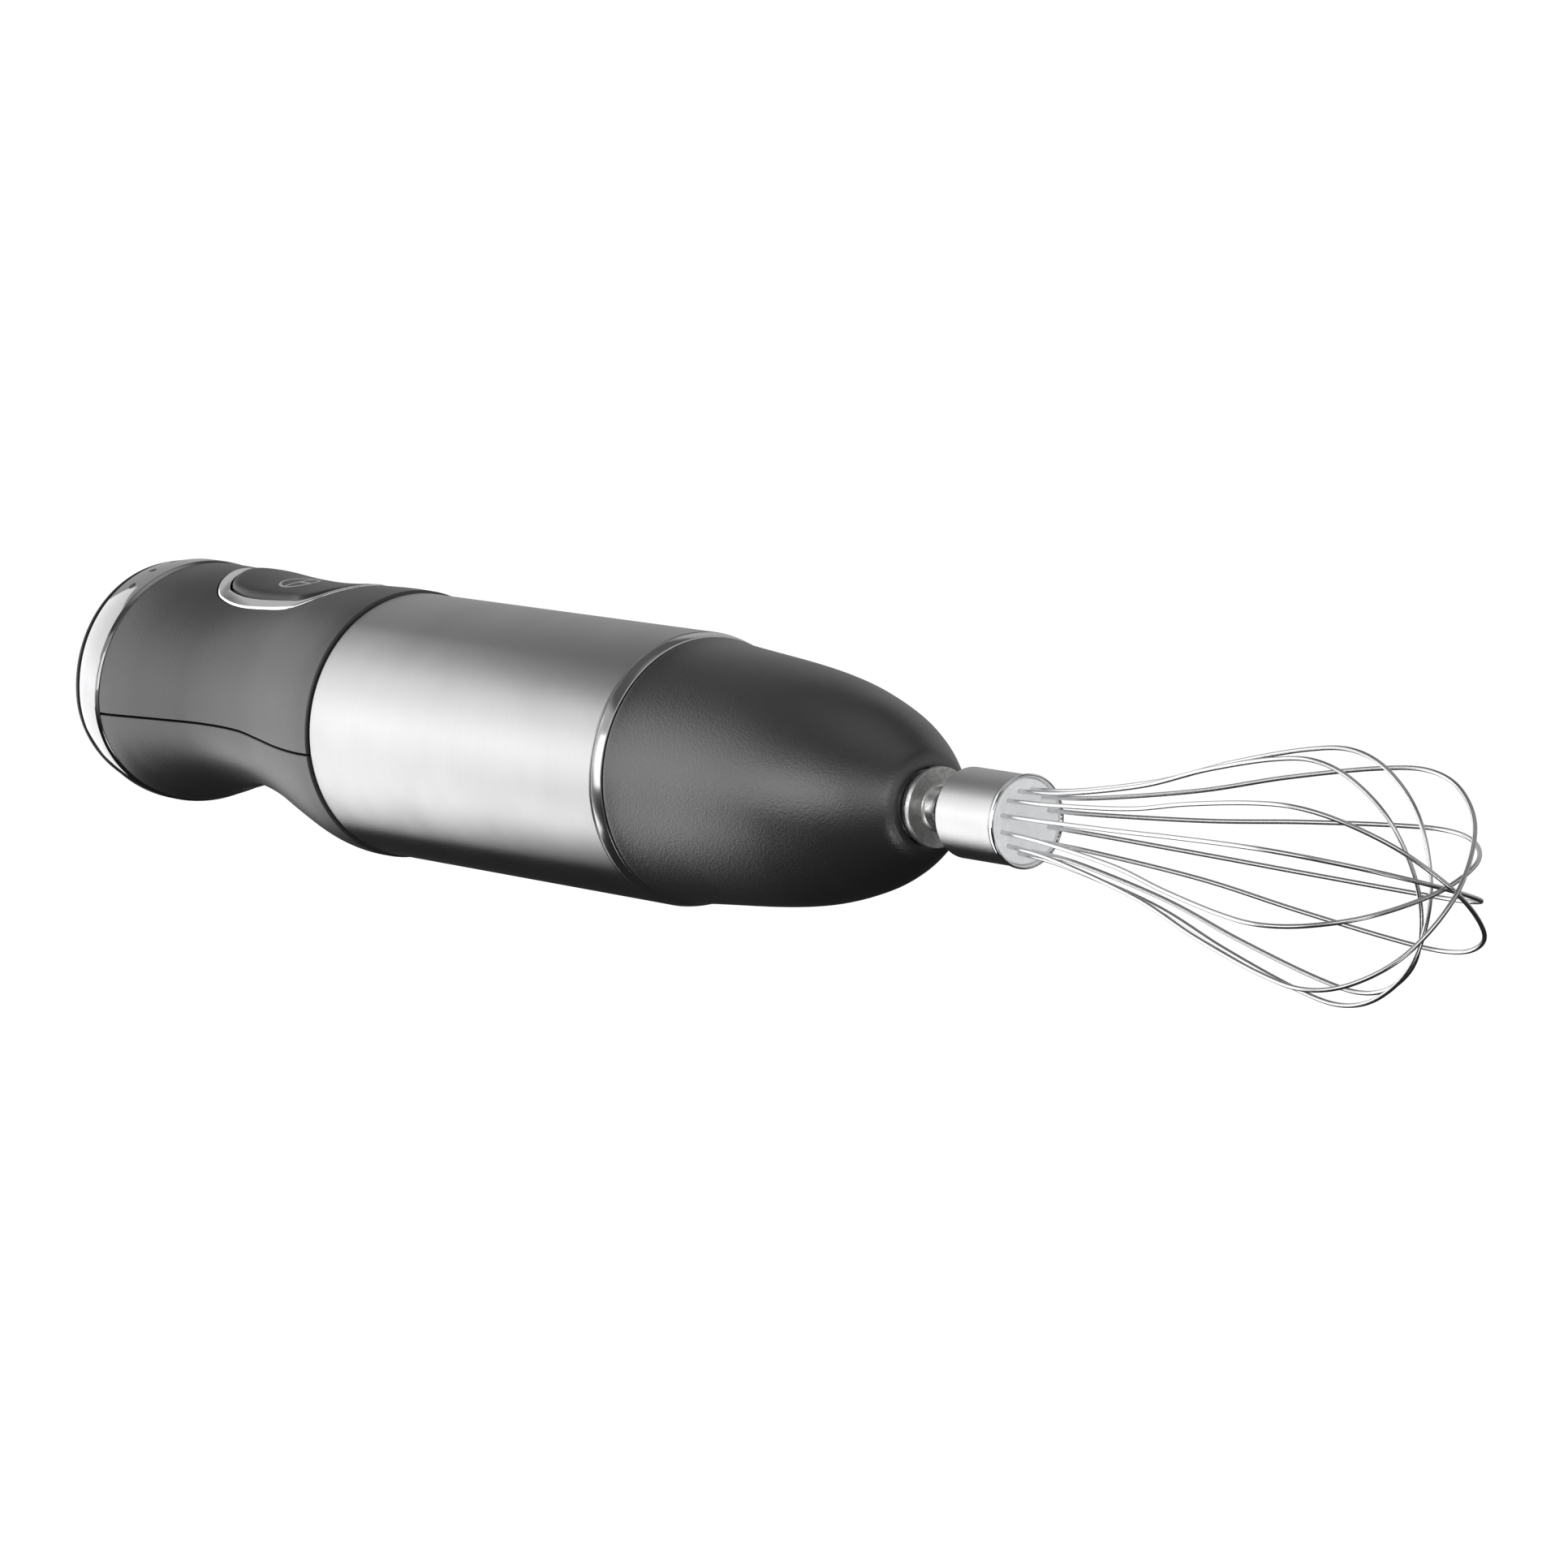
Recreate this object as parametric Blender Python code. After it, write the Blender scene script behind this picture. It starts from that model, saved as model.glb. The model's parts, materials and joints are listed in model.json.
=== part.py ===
"""Hand mixer with a whisk: motor handle, planetary gearbox head and wire whisk.

Frame: metres. +X runs along the drive axis towards the whisk, +Z is the power button's side.
X = 0 is the joint between the grip and the steel sleeve.
"""
import math

import bmesh
import bpy
from mathutils import Matrix, Vector

MM = 0.001

# ---- driving dimensions, millimetres ---------------------------------------
SLEEVE_R = 31.0
SLEEVE_WALL = 0.9
SLEEVE_X = (0.6, 107.4)
CARRIER_R = 29.7
CARRIER_WALL = 2.2
GAP = 0.3

HANDLE_WALL = 2.4
HANDLE_X = (-85.0, -0.6)
# station x, top height, belly depth, half width
HANDLE_STATIONS = (
    (-96.0, 31.0, 25.5, 32.0),
    (-85.0, 31.6, 26.4, 32.6),
    (-76.0, 31.6, 24.0, 32.2),
    (-66.0, 31.1, 21.4, 31.2),
    (-58.0, 30.5, 19.9, 30.3),
    (-51.0, 30.1, 19.5, 29.5),
    (-44.0, 29.9, 19.9, 29.1),
    (-36.0, 30.1, 21.3, 29.0),
    (-28.0, 30.6, 23.8, 29.2),
    (-20.0, 31.3, 27.4, 29.9),
    (-12.0, 31.6, 30.4, 30.8),
    (-6.0, 31.7, 31.5, 31.3),
    (0.0, 31.6, 31.6, 31.5),
)
# height of the joint between the two grip halves
PARTING = ((-96.0, -3.0), (-85.0, -3.0), (-66.0, -2.5), (-45.0, -2.1), (-32.0, -2.4),
           (-24.0, -3.4), (-15.0, -4.5), (-6.0, -5.0), (0.0, -5.0))

RING_X = (-94.2, -85.4)
RING_WALL = 2.0
CAP_X = -98.4
DIAL_R = 13.5
DIAL_Z = 8.5
DIAL_X = (-103.0, -98.2)
GLAND_Z = -14.0
GLAND_BORE = 4.3

BUTTON_OUTLINE = ((-69.6, 0.0), (-68.8, 3.5), (-67.0, 7.0), (-64.4, 10.8), (-61.5, 13.5),
                  (-57.8, 15.3), (-50.4, 16.2), (-40.0, 15.7), (-31.4, 15.2), (-27.4, 13.8),
                  (-23.6, 10.8), (-20.6, 7.0), (-18.4, 3.3), (-17.4, 0.0))
BEZEL_WIDTH = (2.9, 1.4)
BUTTON_TRAVEL = 2.0

MOTOR_SHAFT_R = 2.5
STATOR_X = (30.0, 62.0)
STATOR_R = 26.0
ARMATURE_R = 13.6
ARMATURE_SLOTS = 12
FAN_X = (70.0, 80.0)
FAN_R = 23.0
FAN_BLADES = 9

GEAR_MODULE = 0.7
SUN_TEETH = 12
PLANET_TEETH = 24
RING_TEETH = 60
GEAR_X = (128.0, 138.0)
TOOTH_HALF = 0.42
ADDENDUM = 0.55
DEDENDUM = 0.9
PLANET_PIN_R = 2.0
PLANET_COUNT = 3

DOME_WALL = 2.4
DOME_OUTER = ((110.8, 29.4), (111.6, 30.0), (118.0, 29.2), (139.5, 27.4), (151.9, 25.85),
              (161.2, 23.9), (170.5, 21.0), (176.7, 18.2), (181.4, 15.4), (185.8, 12.2),
              (187.3, 10.0))

FERRULE_X = (200.0, 219.8)
WIRE_R = 0.5
WIRE_RING_R = 6.85
WIRE_LOOPS = 6
WIRE_ROLL = 15.0
# share of a loop's length and share of its widest radius, from the ferrule to the tip
LOOP_PROFILE = ((-0.085, 0.262), (0.0, 0.262), (0.125, 0.313), (0.344, 0.504), (0.518, 0.742),
                (0.697, 0.942), (0.808, 0.994), (0.897, 0.863), (0.969, 0.536), (1.0, 0.0))
LOOP_START = 218.6
# each loop: angle in the ferrule, angle of its plane, tip, widest radius, lean at the tip
LOOPS = ((105.0, 105.0, 337.9, 25.2, -2.2), (75.0, 87.0, 341.9, 26.0, -1.7),
         (165.0, 164.0, 343.8, 26.2, -2.0), (15.0, 15.2, 346.3, 27.4, -2.4),
         (135.0, 141.0, 348.1, 26.2, -2.6), (45.0, 51.0, 349.8, 26.8, -1.3))

PARTS_NAME = "hand_mixer"
CUTTERS_NAME = "cutters"


# ---- scene and material helpers ---------------------------------------------
def clear_scene():
    """Remove the start-up objects."""
    for obj in list(bpy.data.objects):
        bpy.data.objects.remove(obj, do_unlink=True)


def collection(name):
    """Return the named collection, made on first use."""
    found = bpy.data.collections.get(name)
    if found is None:
        found = bpy.data.collections.new(name)
        bpy.context.scene.collection.children.link(found)
    return found


FINISHES = {
    "soft_grip": ((0.030, 0.031, 0.034), 0.62, 0.0),
    "black_plastic": ((0.012, 0.012, 0.013), 0.5, 0.0),
    "button_plastic": ((0.022, 0.023, 0.025), 0.5, 0.0),
    "white_plastic": ((0.75, 0.75, 0.73), 0.5, 0.0),
    "clear_plastic": ((0.62, 0.64, 0.66), 0.3, 0.0),
    "brushed_steel": ((0.56, 0.56, 0.56), 0.32, 1.0),
    "chrome": ((0.80, 0.80, 0.81), 0.07, 1.0),
    "steel": ((0.60, 0.60, 0.61), 0.25, 1.0),
    "zinc": ((0.62, 0.62, 0.61), 0.38, 1.0),
    "iron": ((0.20, 0.20, 0.21), 0.5, 1.0),
    "copper": ((0.70, 0.30, 0.14), 0.35, 1.0),
    "carbon": ((0.03, 0.03, 0.03), 0.6, 0.0),
    "brass": ((0.75, 0.55, 0.25), 0.35, 1.0),
    "board": ((0.03, 0.14, 0.06), 0.5, 0.0),
    "rubber": ((0.015, 0.015, 0.015), 0.8, 0.0),
    "nylon": ((0.70, 0.68, 0.60), 0.5, 0.0),
}


def make_material(node_name, finish):
    """A Principled material of this piece's own."""
    colour, roughness, metallic = FINISHES[finish]
    mat = bpy.data.materials.new(node_name + "_" + finish)
    mat.use_nodes = True
    shader = mat.node_tree.nodes["Principled BSDF"]
    shader.inputs["Base Color"].default_value = (*colour, 1.0)
    shader.inputs["Roughness"].default_value = roughness
    shader.inputs["Metallic"].default_value = metallic
    mat.diffuse_color = (*colour, 1.0)
    return mat


def object_from_bmesh(name, bm, finish, angle=35.0):
    """Turn a bmesh in millimetres into a finished object in metres."""
    bmesh.ops.remove_doubles(bm, verts=bm.verts, dist=1e-4)
    bmesh.ops.recalc_face_normals(bm, faces=bm.faces)
    bmesh.ops.scale(bm, vec=(MM, MM, MM), verts=bm.verts)
    mesh = bpy.data.meshes.new(name)
    bm.to_mesh(mesh)
    bm.free()
    obj = bpy.data.objects.new(name, mesh)
    if finish is None:
        collection(CUTTERS_NAME).objects.link(obj)
        obj.hide_render = True
        obj.display_type = "WIRE"
    else:
        collection(PARTS_NAME).objects.link(obj)
        obj.data.materials.append(make_material(name, finish))
    mesh.polygons.foreach_set("use_smooth", [True] * len(mesh.polygons))
    mesh.set_sharp_from_angle(angle=math.radians(angle))
    return obj


def boolean(obj, cutter, operation="DIFFERENCE"):
    """Add an exact Boolean of one piece with a cutter."""
    mod = obj.modifiers.new(operation.lower() + "_" + cutter.name, "BOOLEAN")
    mod.operation = operation
    mod.solver = "EXACT"
    mod.object = cutter
    return obj


def set_origin(obj, point_mm):
    """Move the object's origin to a joint's axis without moving its shape."""
    point = Vector(point_mm) * MM
    obj.data.transform(Matrix.Translation(-point))
    obj.location = point
    return obj


# ---- shape helpers, millimetres ----------------------------------------------
def lathe_bmesh(profile, segs=32, centre=(0.0, 0.0), phase=0.0):
    """Turn a closed (x, r) profile about an axis parallel to X."""
    bm = bmesh.new()
    verts = []
    for x, r in profile:
        verts.append(bm.verts.new((x, r, 0.0)))
    edges = []
    for i, vert in enumerate(verts):
        after = verts[(i + 1) % len(verts)]
        on_axis = vert.co.y < 1e-6 and after.co.y < 1e-6
        if not on_axis:
            edges.append(bm.edges.new((vert, after)))
    bmesh.ops.spin(bm, geom=verts + edges, cent=(0, 0, 0), axis=(1, 0, 0),
                   angle=2.0 * math.pi, steps=segs, use_duplicate=False)
    bmesh.ops.remove_doubles(bm, verts=bm.verts, dist=1e-4)
    turn = Matrix.Rotation(math.radians(phase), 4, "X")
    bmesh.ops.transform(bm, matrix=turn, verts=bm.verts)
    bmesh.ops.translate(bm, vec=(0.0, centre[0], centre[1]), verts=bm.verts)
    return bm


def lathe(name, profile, finish, segs=32, centre=(0.0, 0.0), phase=0.0, angle=35.0):
    """A turned piece."""
    return object_from_bmesh(name, lathe_bmesh(profile, segs, centre, phase), finish, angle)


def tube(name, x0, x1, outer, inner, finish, segs=32, centre=(0.0, 0.0)):
    """A plain tube along X."""
    profile = ((x0, outer), (x1, outer), (x1, inner), (x0, inner))
    return lathe(name, profile, finish, segs, centre)


def rod(name, x0, x1, radius, finish, segs=24, centre=(0.0, 0.0), chamfer=0.0):
    """A solid round bar along X with optional end chamfers."""
    profile = [(x0, 0.0), (x0, radius - chamfer), (x0 + chamfer, radius),
               (x1 - chamfer, radius), (x1, radius - chamfer), (x1, 0.0)]
    if chamfer <= 0.0:
        profile = [(x0, 0.0), (x0, radius), (x1, radius), (x1, 0.0)]
    return lathe(name, profile, finish, segs, centre)


def prism_bmesh(outline, low, high, axis="X"):
    """Extrude a closed outline. Outline pairs are (y, z) for axis X and (x, y) for axis Z."""
    bm = bmesh.new()
    verts = []
    for a, b in outline:
        if axis == "X":
            verts.append(bm.verts.new((low, a, b)))
        else:
            verts.append(bm.verts.new((a, b, low)))
    face = bm.faces.new(verts)
    made = bmesh.ops.extrude_face_region(bm, geom=[face])
    moved = [g for g in made["geom"] if isinstance(g, bmesh.types.BMVert)]
    step = Vector((high - low, 0, 0)) if axis == "X" else Vector((0, 0, high - low))
    bmesh.ops.translate(bm, vec=step, verts=moved)
    return bm


def prism(name, outline, low, high, finish, axis="X", angle=35.0):
    """An extruded piece."""
    return object_from_bmesh(name, prism_bmesh(outline, low, high, axis), finish, angle)


def box_bmesh(low, high, bevel=0.0):
    """An axis-aligned block with optional bevelled edges."""
    bm = bmesh.new()
    bmesh.ops.create_cube(bm, size=1.0)
    size = [h - l for l, h in zip(low, high)]
    mid = [(h + l) / 2.0 for l, h in zip(low, high)]
    bmesh.ops.scale(bm, vec=size, verts=bm.verts)
    bmesh.ops.translate(bm, vec=mid, verts=bm.verts)
    if bevel > 0.0:
        bmesh.ops.bevel(bm, geom=bm.edges[:], offset=bevel, segments=1, affect="EDGES")
    return bm


def box(name, low, high, finish, bevel=0.0):
    """A block piece."""
    return object_from_bmesh(name, box_bmesh(low, high, bevel), finish)


def circle(radius, count, phase=0.0, centre=(0.0, 0.0)):
    """Points round a circle, counter-clockwise."""
    points = []
    for i in range(count):
        a = math.radians(phase) + 2.0 * math.pi * i / count
        points.append((centre[0] + radius * math.cos(a), centre[1] + radius * math.sin(a)))
    return points


def merge_bmesh(target, other):
    """Append one bmesh's faces to another."""
    scratch = bpy.data.meshes.new("scratch")
    other.to_mesh(scratch)
    other.free()
    target.from_mesh(scratch)
    bpy.data.meshes.remove(scratch)
    return target


def wire(name, points, radius, finish, cyclic=False, sides=2):
    """A round wire along a poly line, converted to a mesh."""
    curve = bpy.data.curves.new(name + "_path", "CURVE")
    curve.dimensions = "3D"
    curve.bevel_depth = radius * MM
    curve.bevel_resolution = sides
    curve.use_fill_caps = not cyclic
    spline = curve.splines.new("POLY")
    spline.points.add(len(points) - 1)
    for point, place in zip(spline.points, points):
        point.co = (place[0] * MM, place[1] * MM, place[2] * MM, 1.0)
    spline.use_cyclic_u = cyclic
    holder = bpy.data.objects.new(name + "_curve", curve)
    mesh = bpy.data.meshes.new_from_object(holder)
    bpy.data.objects.remove(holder)
    bm = bmesh.new()
    bm.from_mesh(mesh)
    bmesh.ops.scale(bm, vec=(1 / MM, 1 / MM, 1 / MM), verts=bm.verts)
    bpy.data.meshes.remove(mesh)
    return object_from_bmesh(name, bm, finish, angle=60.0)


def smooth_path(knots, count):
    """Catmull-Rom points through knots, for wires."""
    points = []
    knots = [Vector(k) for k in knots]
    spans = len(knots) - 1
    for i in range(count + 1):
        t = spans * i / count
        j = min(int(t), spans - 1)
        f = t - j
        p0 = knots[max(j - 1, 0)]
        p1 = knots[j]
        p2 = knots[j + 1]
        p3 = knots[min(j + 2, spans)]
        first = 2.0 * p1 + (p2 - p0) * f
        second = (2.0 * p0 - 5.0 * p1 + 4.0 * p2 - p3) * f * f
        third = (3.0 * p1 - p0 - 3.0 * p2 + p3) * f * f * f
        points.append(0.5 * (first + second + third))
    return points


def interpolate(table, x, column=1):
    """Cubic-eased look-up in a station table."""
    if x <= table[0][0]:
        return table[0][column]
    for i in range(len(table) - 1):
        a = table[i]
        b = table[i + 1]
        if x <= b[0]:
            before = table[max(i - 1, 0)]
            after = table[min(i + 2, len(table) - 1)]
            h = b[0] - a[0]
            m0 = (b[column] - before[column]) / (b[0] - before[0])
            m1 = (after[column] - a[column]) / (after[0] - a[0])
            t = (x - a[0]) / h
            h00 = 2 * t ** 3 - 3 * t ** 2 + 1
            h10 = t ** 3 - 2 * t ** 2 + t
            h01 = -2 * t ** 3 + 3 * t ** 2
            h11 = t ** 3 - t ** 2
            return h00 * a[column] + h10 * h * m0 + h01 * b[column] + h11 * h * m1
    return table[-1][column]


# ---- grip --------------------------------------------------------------------
def grip_point(x, angle, inset):
    """A point on the grip's skin, inset from its outside."""
    top = interpolate(HANDLE_STATIONS, x, 1) - inset
    low = interpolate(HANDLE_STATIONS, x, 2) - inset
    wide = interpolate(HANDLE_STATIONS, x, 3) - inset
    y = wide * math.cos(angle)
    z = (top if math.sin(angle) >= 0.0 else low) * math.sin(angle)
    return Vector((x, y, z))


def parting_angle(x, inset, height, upper):
    """Angle on the +Y side at which the skin reaches a height."""
    size = interpolate(HANDLE_STATIONS, x, 1 if height >= 0.0 else 2) - inset
    return math.asin(max(-0.98, min(0.98, height / size)))


def grip_half(name, upper, finish):
    """One moulded half of the grip: an open channel with an even wall."""
    bm = bmesh.new()
    loops = []
    stations = 11
    around = 10
    for i in range(stations + 1):
        x = HANDLE_X[0] + (HANDLE_X[1] - HANDLE_X[0]) * i / stations
        height = interpolate(PARTING, x) + (GAP / 2 if upper else -GAP / 2)
        loop = []
        for inset, backwards in ((0.0, False), (HANDLE_WALL, True)):
            start = parting_angle(x, inset, height, upper)
            if upper:
                first, last = start, math.pi - start
            else:
                first, last = math.pi - start, 2.0 * math.pi + start
            steps = range(around + 1)
            for k in (reversed(steps) if backwards else steps):
                angle = first + (last - first) * k / around
                loop.append(bm.verts.new(grip_point(x, angle, inset)))
        loops.append(loop)
    for a, b in zip(loops, loops[1:]):
        n = len(a)
        for k in range(n):
            bm.faces.new((a[k], a[(k + 1) % n], b[(k + 1) % n], b[k]))
    half = around + 1
    for end in (loops[0], loops[-1]):
        for k in range(half - 1):
            bm.faces.new((end[k], end[k + 1], end[2 * half - 2 - k], end[2 * half - 1 - k]))
    return object_from_bmesh(name, bm, finish, angle=40.0)


def offset_outline(outline, inset, front_inset=None):
    """Shrink the button's mirrored outline, by a smaller amount at its front if asked."""
    if front_inset is None:
        front_inset = inset
    half = list(outline)
    full = half + [(x, -y) for x, y in reversed(half[1:-1])]
    count = len(full)
    result = []
    for i in range(count):
        before = Vector(full[i - 1])
        here = Vector(full[i])
        after = Vector(full[(i + 1) % count])
        side = (after - before).normalized()
        inward = Vector((side.y, -side.x))
        share = max(0.0, min(1.0, (here.x + 33.0) / 9.0))
        result.append(tuple(here + inward * (inset + (front_inset - inset) * share)))
    return result


def grip_patch(name, outline, raised, depth, finish, front=None):
    """A plate that follows the grip's top inside an outline, with its own lift at the front."""
    front = raised if front is None else front
    bm = bmesh.new()
    rows = []
    count = len(outline)
    centre_x = sum(p[0] for p in outline) / count
    shells = ((raised, 1.0), (raised, 0.62), (raised, 0.25))
    for level in (0, 1):
        for lift, scale in shells:
            row = []
            for x, y in outline:
                px = centre_x + (x - centre_x) * scale
                py = y * scale
                wide = interpolate(HANDLE_STATIONS, px, 3)
                share = max(0.0, min(1.0, (px + 45.0) / 22.0))
                top = interpolate(HANDLE_STATIONS, px, 1) + lift + (front - raised) * share
                z = top * math.sqrt(max(0.0, 1.0 - (py / wide) ** 2))
                row.append(bm.verts.new((px, py, z - (depth if level else 0.0))))
            rows.append(row)
        hub_top = interpolate(HANDLE_STATIONS, centre_x, 1) + raised - (depth if level else 0.0)
        rows.append([bm.verts.new((centre_x, 0.0, hub_top))])
    for base in (0, 4):
        for k in range(count):
            j = (k + 1) % count
            bm.faces.new((rows[base][k], rows[base][j], rows[base + 1][j], rows[base + 1][k]))
            bm.faces.new((rows[base + 1][k], rows[base + 1][j], rows[base + 2][j], rows[base + 2][k]))
            bm.faces.new((rows[base + 2][k], rows[base + 2][j], rows[base + 3][0]))
    for k in range(count):
        j = (k + 1) % count
        bm.faces.new((rows[0][k], rows[4][k], rows[4][j], rows[0][j]))
    return object_from_bmesh(name, bm, finish, angle=40.0)


def build_grip():
    """Both grip halves, cut for the button, with joined screw posts."""
    upper = grip_half("upper_handle_shell", True, "soft_grip")
    lower = grip_half("lower_handle_shell", False, "soft_grip")
    opening = prism("button_opening_cutter", offset_outline(BUTTON_OUTLINE, -GAP), 18.0, 40.0,
                    None, axis="Z")
    boolean(upper, opening)
    for index, x in enumerate((-70.0, -24.0)):
        floor = -interpolate(HANDLE_STATIONS, x, 2)
        post = cylinder_z("screw_post_cutter_%d" % index, x, 0.0, floor + 1.2, -4.0, 4.2, None, 10)
        boolean(lower, post, "UNION")
    for index, x in enumerate((-70.0, -24.0)):
        floor = -interpolate(HANDLE_STATIONS, x, 2)
        head = cylinder_z("screw_head_cutter_%d" % index, x, 0.0, floor - 3.0, floor + 5.0, 3.3,
                          None, 10)
        hole = cylinder_z("screw_hole_cutter_%d" % index, x, 0.0, floor - 3.0, 0.0, 1.9, None, 10)
        boolean(lower, head)
        boolean(lower, hole)
    return upper, lower


def cylinder_z(name, x, y, z0, z1, radius, finish, segs=24):
    """A round bar along Z."""
    return prism(name, circle(radius, segs, 0.0, (x, y)), z0, z1, finish, axis="Z")


def build_screws():
    """Two grip screws, each one turned piece along Z."""
    for index, x in enumerate((-70.0, -24.0)):
        floor = -interpolate(HANDLE_STATIONS, x, 2)
        profile = ((floor + 2.6, 0.0), (floor + 2.6, 2.6), (floor + 4.7, 2.8), (floor + 4.8, 1.6),
                   (3.5, 1.6), (4.2, 1.0), (4.2, 0.0))
        bm = lathe_bmesh(profile, 10)
        turn = Matrix.Rotation(math.radians(-90.0), 4, "Y")
        bmesh.ops.transform(bm, matrix=turn, verts=bm.verts)
        bmesh.ops.translate(bm, vec=(x, 0.0, 0.0), verts=bm.verts)
        screw = object_from_bmesh("grip_screw_%s" % ("rear", "front")[index], bm, "steel")
        slot = box("screw_slot_cutter_%d" % index, (x - 2.0, -0.35, floor + 2.0),
                   (x + 2.0, 0.35, floor + 3.4), None)
        boolean(screw, slot)


def ring_loop(bm, x, inset, count, tilt=0.0):
    """One closed loop of vertices round the grip's end."""
    loop = []
    for k in range(count):
        point = grip_point(x, 2.0 * math.pi * k / count, inset)
        point.x += tilt * point.z
        loop.append(bm.verts.new(point))
    return loop


def skin_loops(name, loops_spec, finish, count=24, closed=True, caps=False):
    """A piece made of loops that follow the grip's section."""
    bm = bmesh.new()
    loops = [ring_loop(bm, x, inset, count, tilt) for x, inset, tilt in loops_spec]
    pairs = list(zip(loops, loops[1:]))
    if closed:
        pairs.append((loops[-1], loops[0]))
    for a, b in pairs:
        for k in range(count):
            j = (k + 1) % count
            bm.faces.new((a[k], a[j], b[j], b[k]))
    if caps:
        bm.faces.new(loops[0])
        bm.faces.new(loops[-1])
    return object_from_bmesh(name, bm, finish)


def build_rear_end():
    """Chrome trim ring, end cap, speed dial, potentiometer and cord gland."""
    skin_loops("rear_trim_ring",
               ((RING_X[1], 0.2, 0.0), (RING_X[1] - 0.6, -0.5, -0.01),
                (-90.0, -0.7, -0.06), (RING_X[0] + 0.7, -0.2, -0.12), (RING_X[0], 0.6, -0.12),
                (RING_X[0] + 0.5, 2.4, -0.12), (RING_X[1], 2.4, 0.0)), "chrome")
    cap = skin_loops("rear_end_cap",
                     ((RING_X[1] + 0.2, 2.8, 0.0), (RING_X[1] + 0.2, 5.0, 0.0), (-93.5, 5.0, -0.03),
                      (-93.6, 18.0, -0.03), (CAP_X + 0.7, 18.0, -0.03), (CAP_X, 8.0, -0.03),
                      (-97.2, 3.0, -0.08), (-96.0, 0.3, -0.11), (-94.8, 0.0, -0.12),
                      (-94.6, 2.8, -0.12)), "black_plastic", closed=True)
    plate = box("cap_web_cutter", (-96.4, -15.0, -12.0), (-93.9, 15.0, 14.0), None)
    boolean(cap, plate, "UNION")
    bore = rod("dial_bore_cutter", -105.0, -88.0, 3.4, None, 12, (0.0, DIAL_Z))
    boolean(cap, bore)
    gland_hole = rod("gland_hole_cutter", -105.0, -88.0, 6.1, None, 14, (0.0, GLAND_Z))
    boolean(cap, gland_hole)
    build_dial()
    gland_profile = ((-110.0, 5.3), (-109.4, 5.7), (-99.2, 6.6), (-99.2, 7.4), (-98.4, 7.4),
                     (-98.4, 5.8), (-93.0, 5.8), (-92.6, 6.7), (-91.0, 6.7), (-91.0, GLAND_BORE),
                     (-110.0, GLAND_BORE))
    lathe("cord_gland", gland_profile, "rubber", 14, (0.0, GLAND_Z))


def build_dial():
    """The speed dial with its knurled rim and stem, and the potentiometer it turns."""
    outline = []
    ridges = 18
    for i in range(ridges):
        for k, radius in enumerate((DIAL_R, DIAL_R, DIAL_R - 0.6, DIAL_R - 0.6)):
            a = 2.0 * math.pi * (i + k / 4.0) / ridges
            outline.append((radius * math.cos(a), radius * math.sin(a) + DIAL_Z))
    dial = prism("speed_dial", outline, DIAL_X[0], DIAL_X[1] - 1.2, "black_plastic")
    stem = rod("dial_stem_cutter", DIAL_X[0] + 1.0, -86.0, 3.0, None, 12, (0.0, DIAL_Z))
    boolean(dial, stem, "UNION")
    mark = box("dial_mark_cutter", (DIAL_X[0] - 1.0, -0.7, DIAL_Z + 5.0),
               (DIAL_X[0] + 0.5, 0.7, DIAL_Z + 11.0), None)
    boolean(dial, mark)
    set_origin(dial, (0.0, 0.0, DIAL_Z))
    body = lathe("potentiometer", ((-89.6, 3.4), (-89.6, 8.0), (-82.0, 8.0), (-82.0, 0.0),
                                   (-85.4, 0.0), (-85.4, 3.4)), "white_plastic", 12, (0.0, DIAL_Z))
    return dial, body


def build_button():
    """Bezel, power button with its stem, and the return spring."""
    wide, narrow = BEZEL_WIDTH
    outer = offset_outline(BUTTON_OUTLINE, 0.0)
    bezel = grip_patch("button_bezel", outer, 0.3, 3.1, "chrome")
    inner = prism("button_well_cutter", offset_outline(BUTTON_OUTLINE, wide, narrow), 18.0, 40.0,
                  None, axis="Z")
    boolean(bezel, inner)
    button = grip_patch("power_button", offset_outline(BUTTON_OUTLINE, wide + 0.4, narrow + 0.3),
                        1.0, 2.9, "button_plastic", 0.3)
    stem = cylinder_z("button_stem_cutter", -46.0, 0.0, 20.6, 29.6, 2.4, None, 12)
    boolean(button, stem, "UNION")
    ring = tube_z("button_mark_cutter", -42.0, -3.2, 30.5, 33.0, 5.0, 4.4, 16)
    boolean(button, ring)
    tick = box("button_tick_cutter", (-42.3, -7.7, 30.5), (-41.7, 1.3, 33.0), None)
    boolean(button, tick)
    helix = []
    turns = 4
    steps = 9
    for i in range(turns * steps + 1):
        a = 2.0 * math.pi * i / steps
        z = 20.6 + (26.9 - 20.6) * i / (turns * steps)
        helix.append((-46.0 + 4.2 * math.cos(a), 4.2 * math.sin(a), z))
    wire("button_spring", helix, 0.35, "steel", sides=0)


def tube_z(name, x, y, z0, z1, outer, inner, segs):
    """A cutter ring along Z."""
    bm = lathe_bmesh(((z0, outer), (z1, outer), (z1, inner), (z0, inner)), segs)
    bmesh.ops.transform(bm, matrix=Matrix.Rotation(math.radians(-90.0), 4, "Y"), verts=bm.verts)
    bmesh.ops.translate(bm, vec=(x, y, 0.0), verts=bm.verts)
    return object_from_bmesh(name, bm, None)


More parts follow.
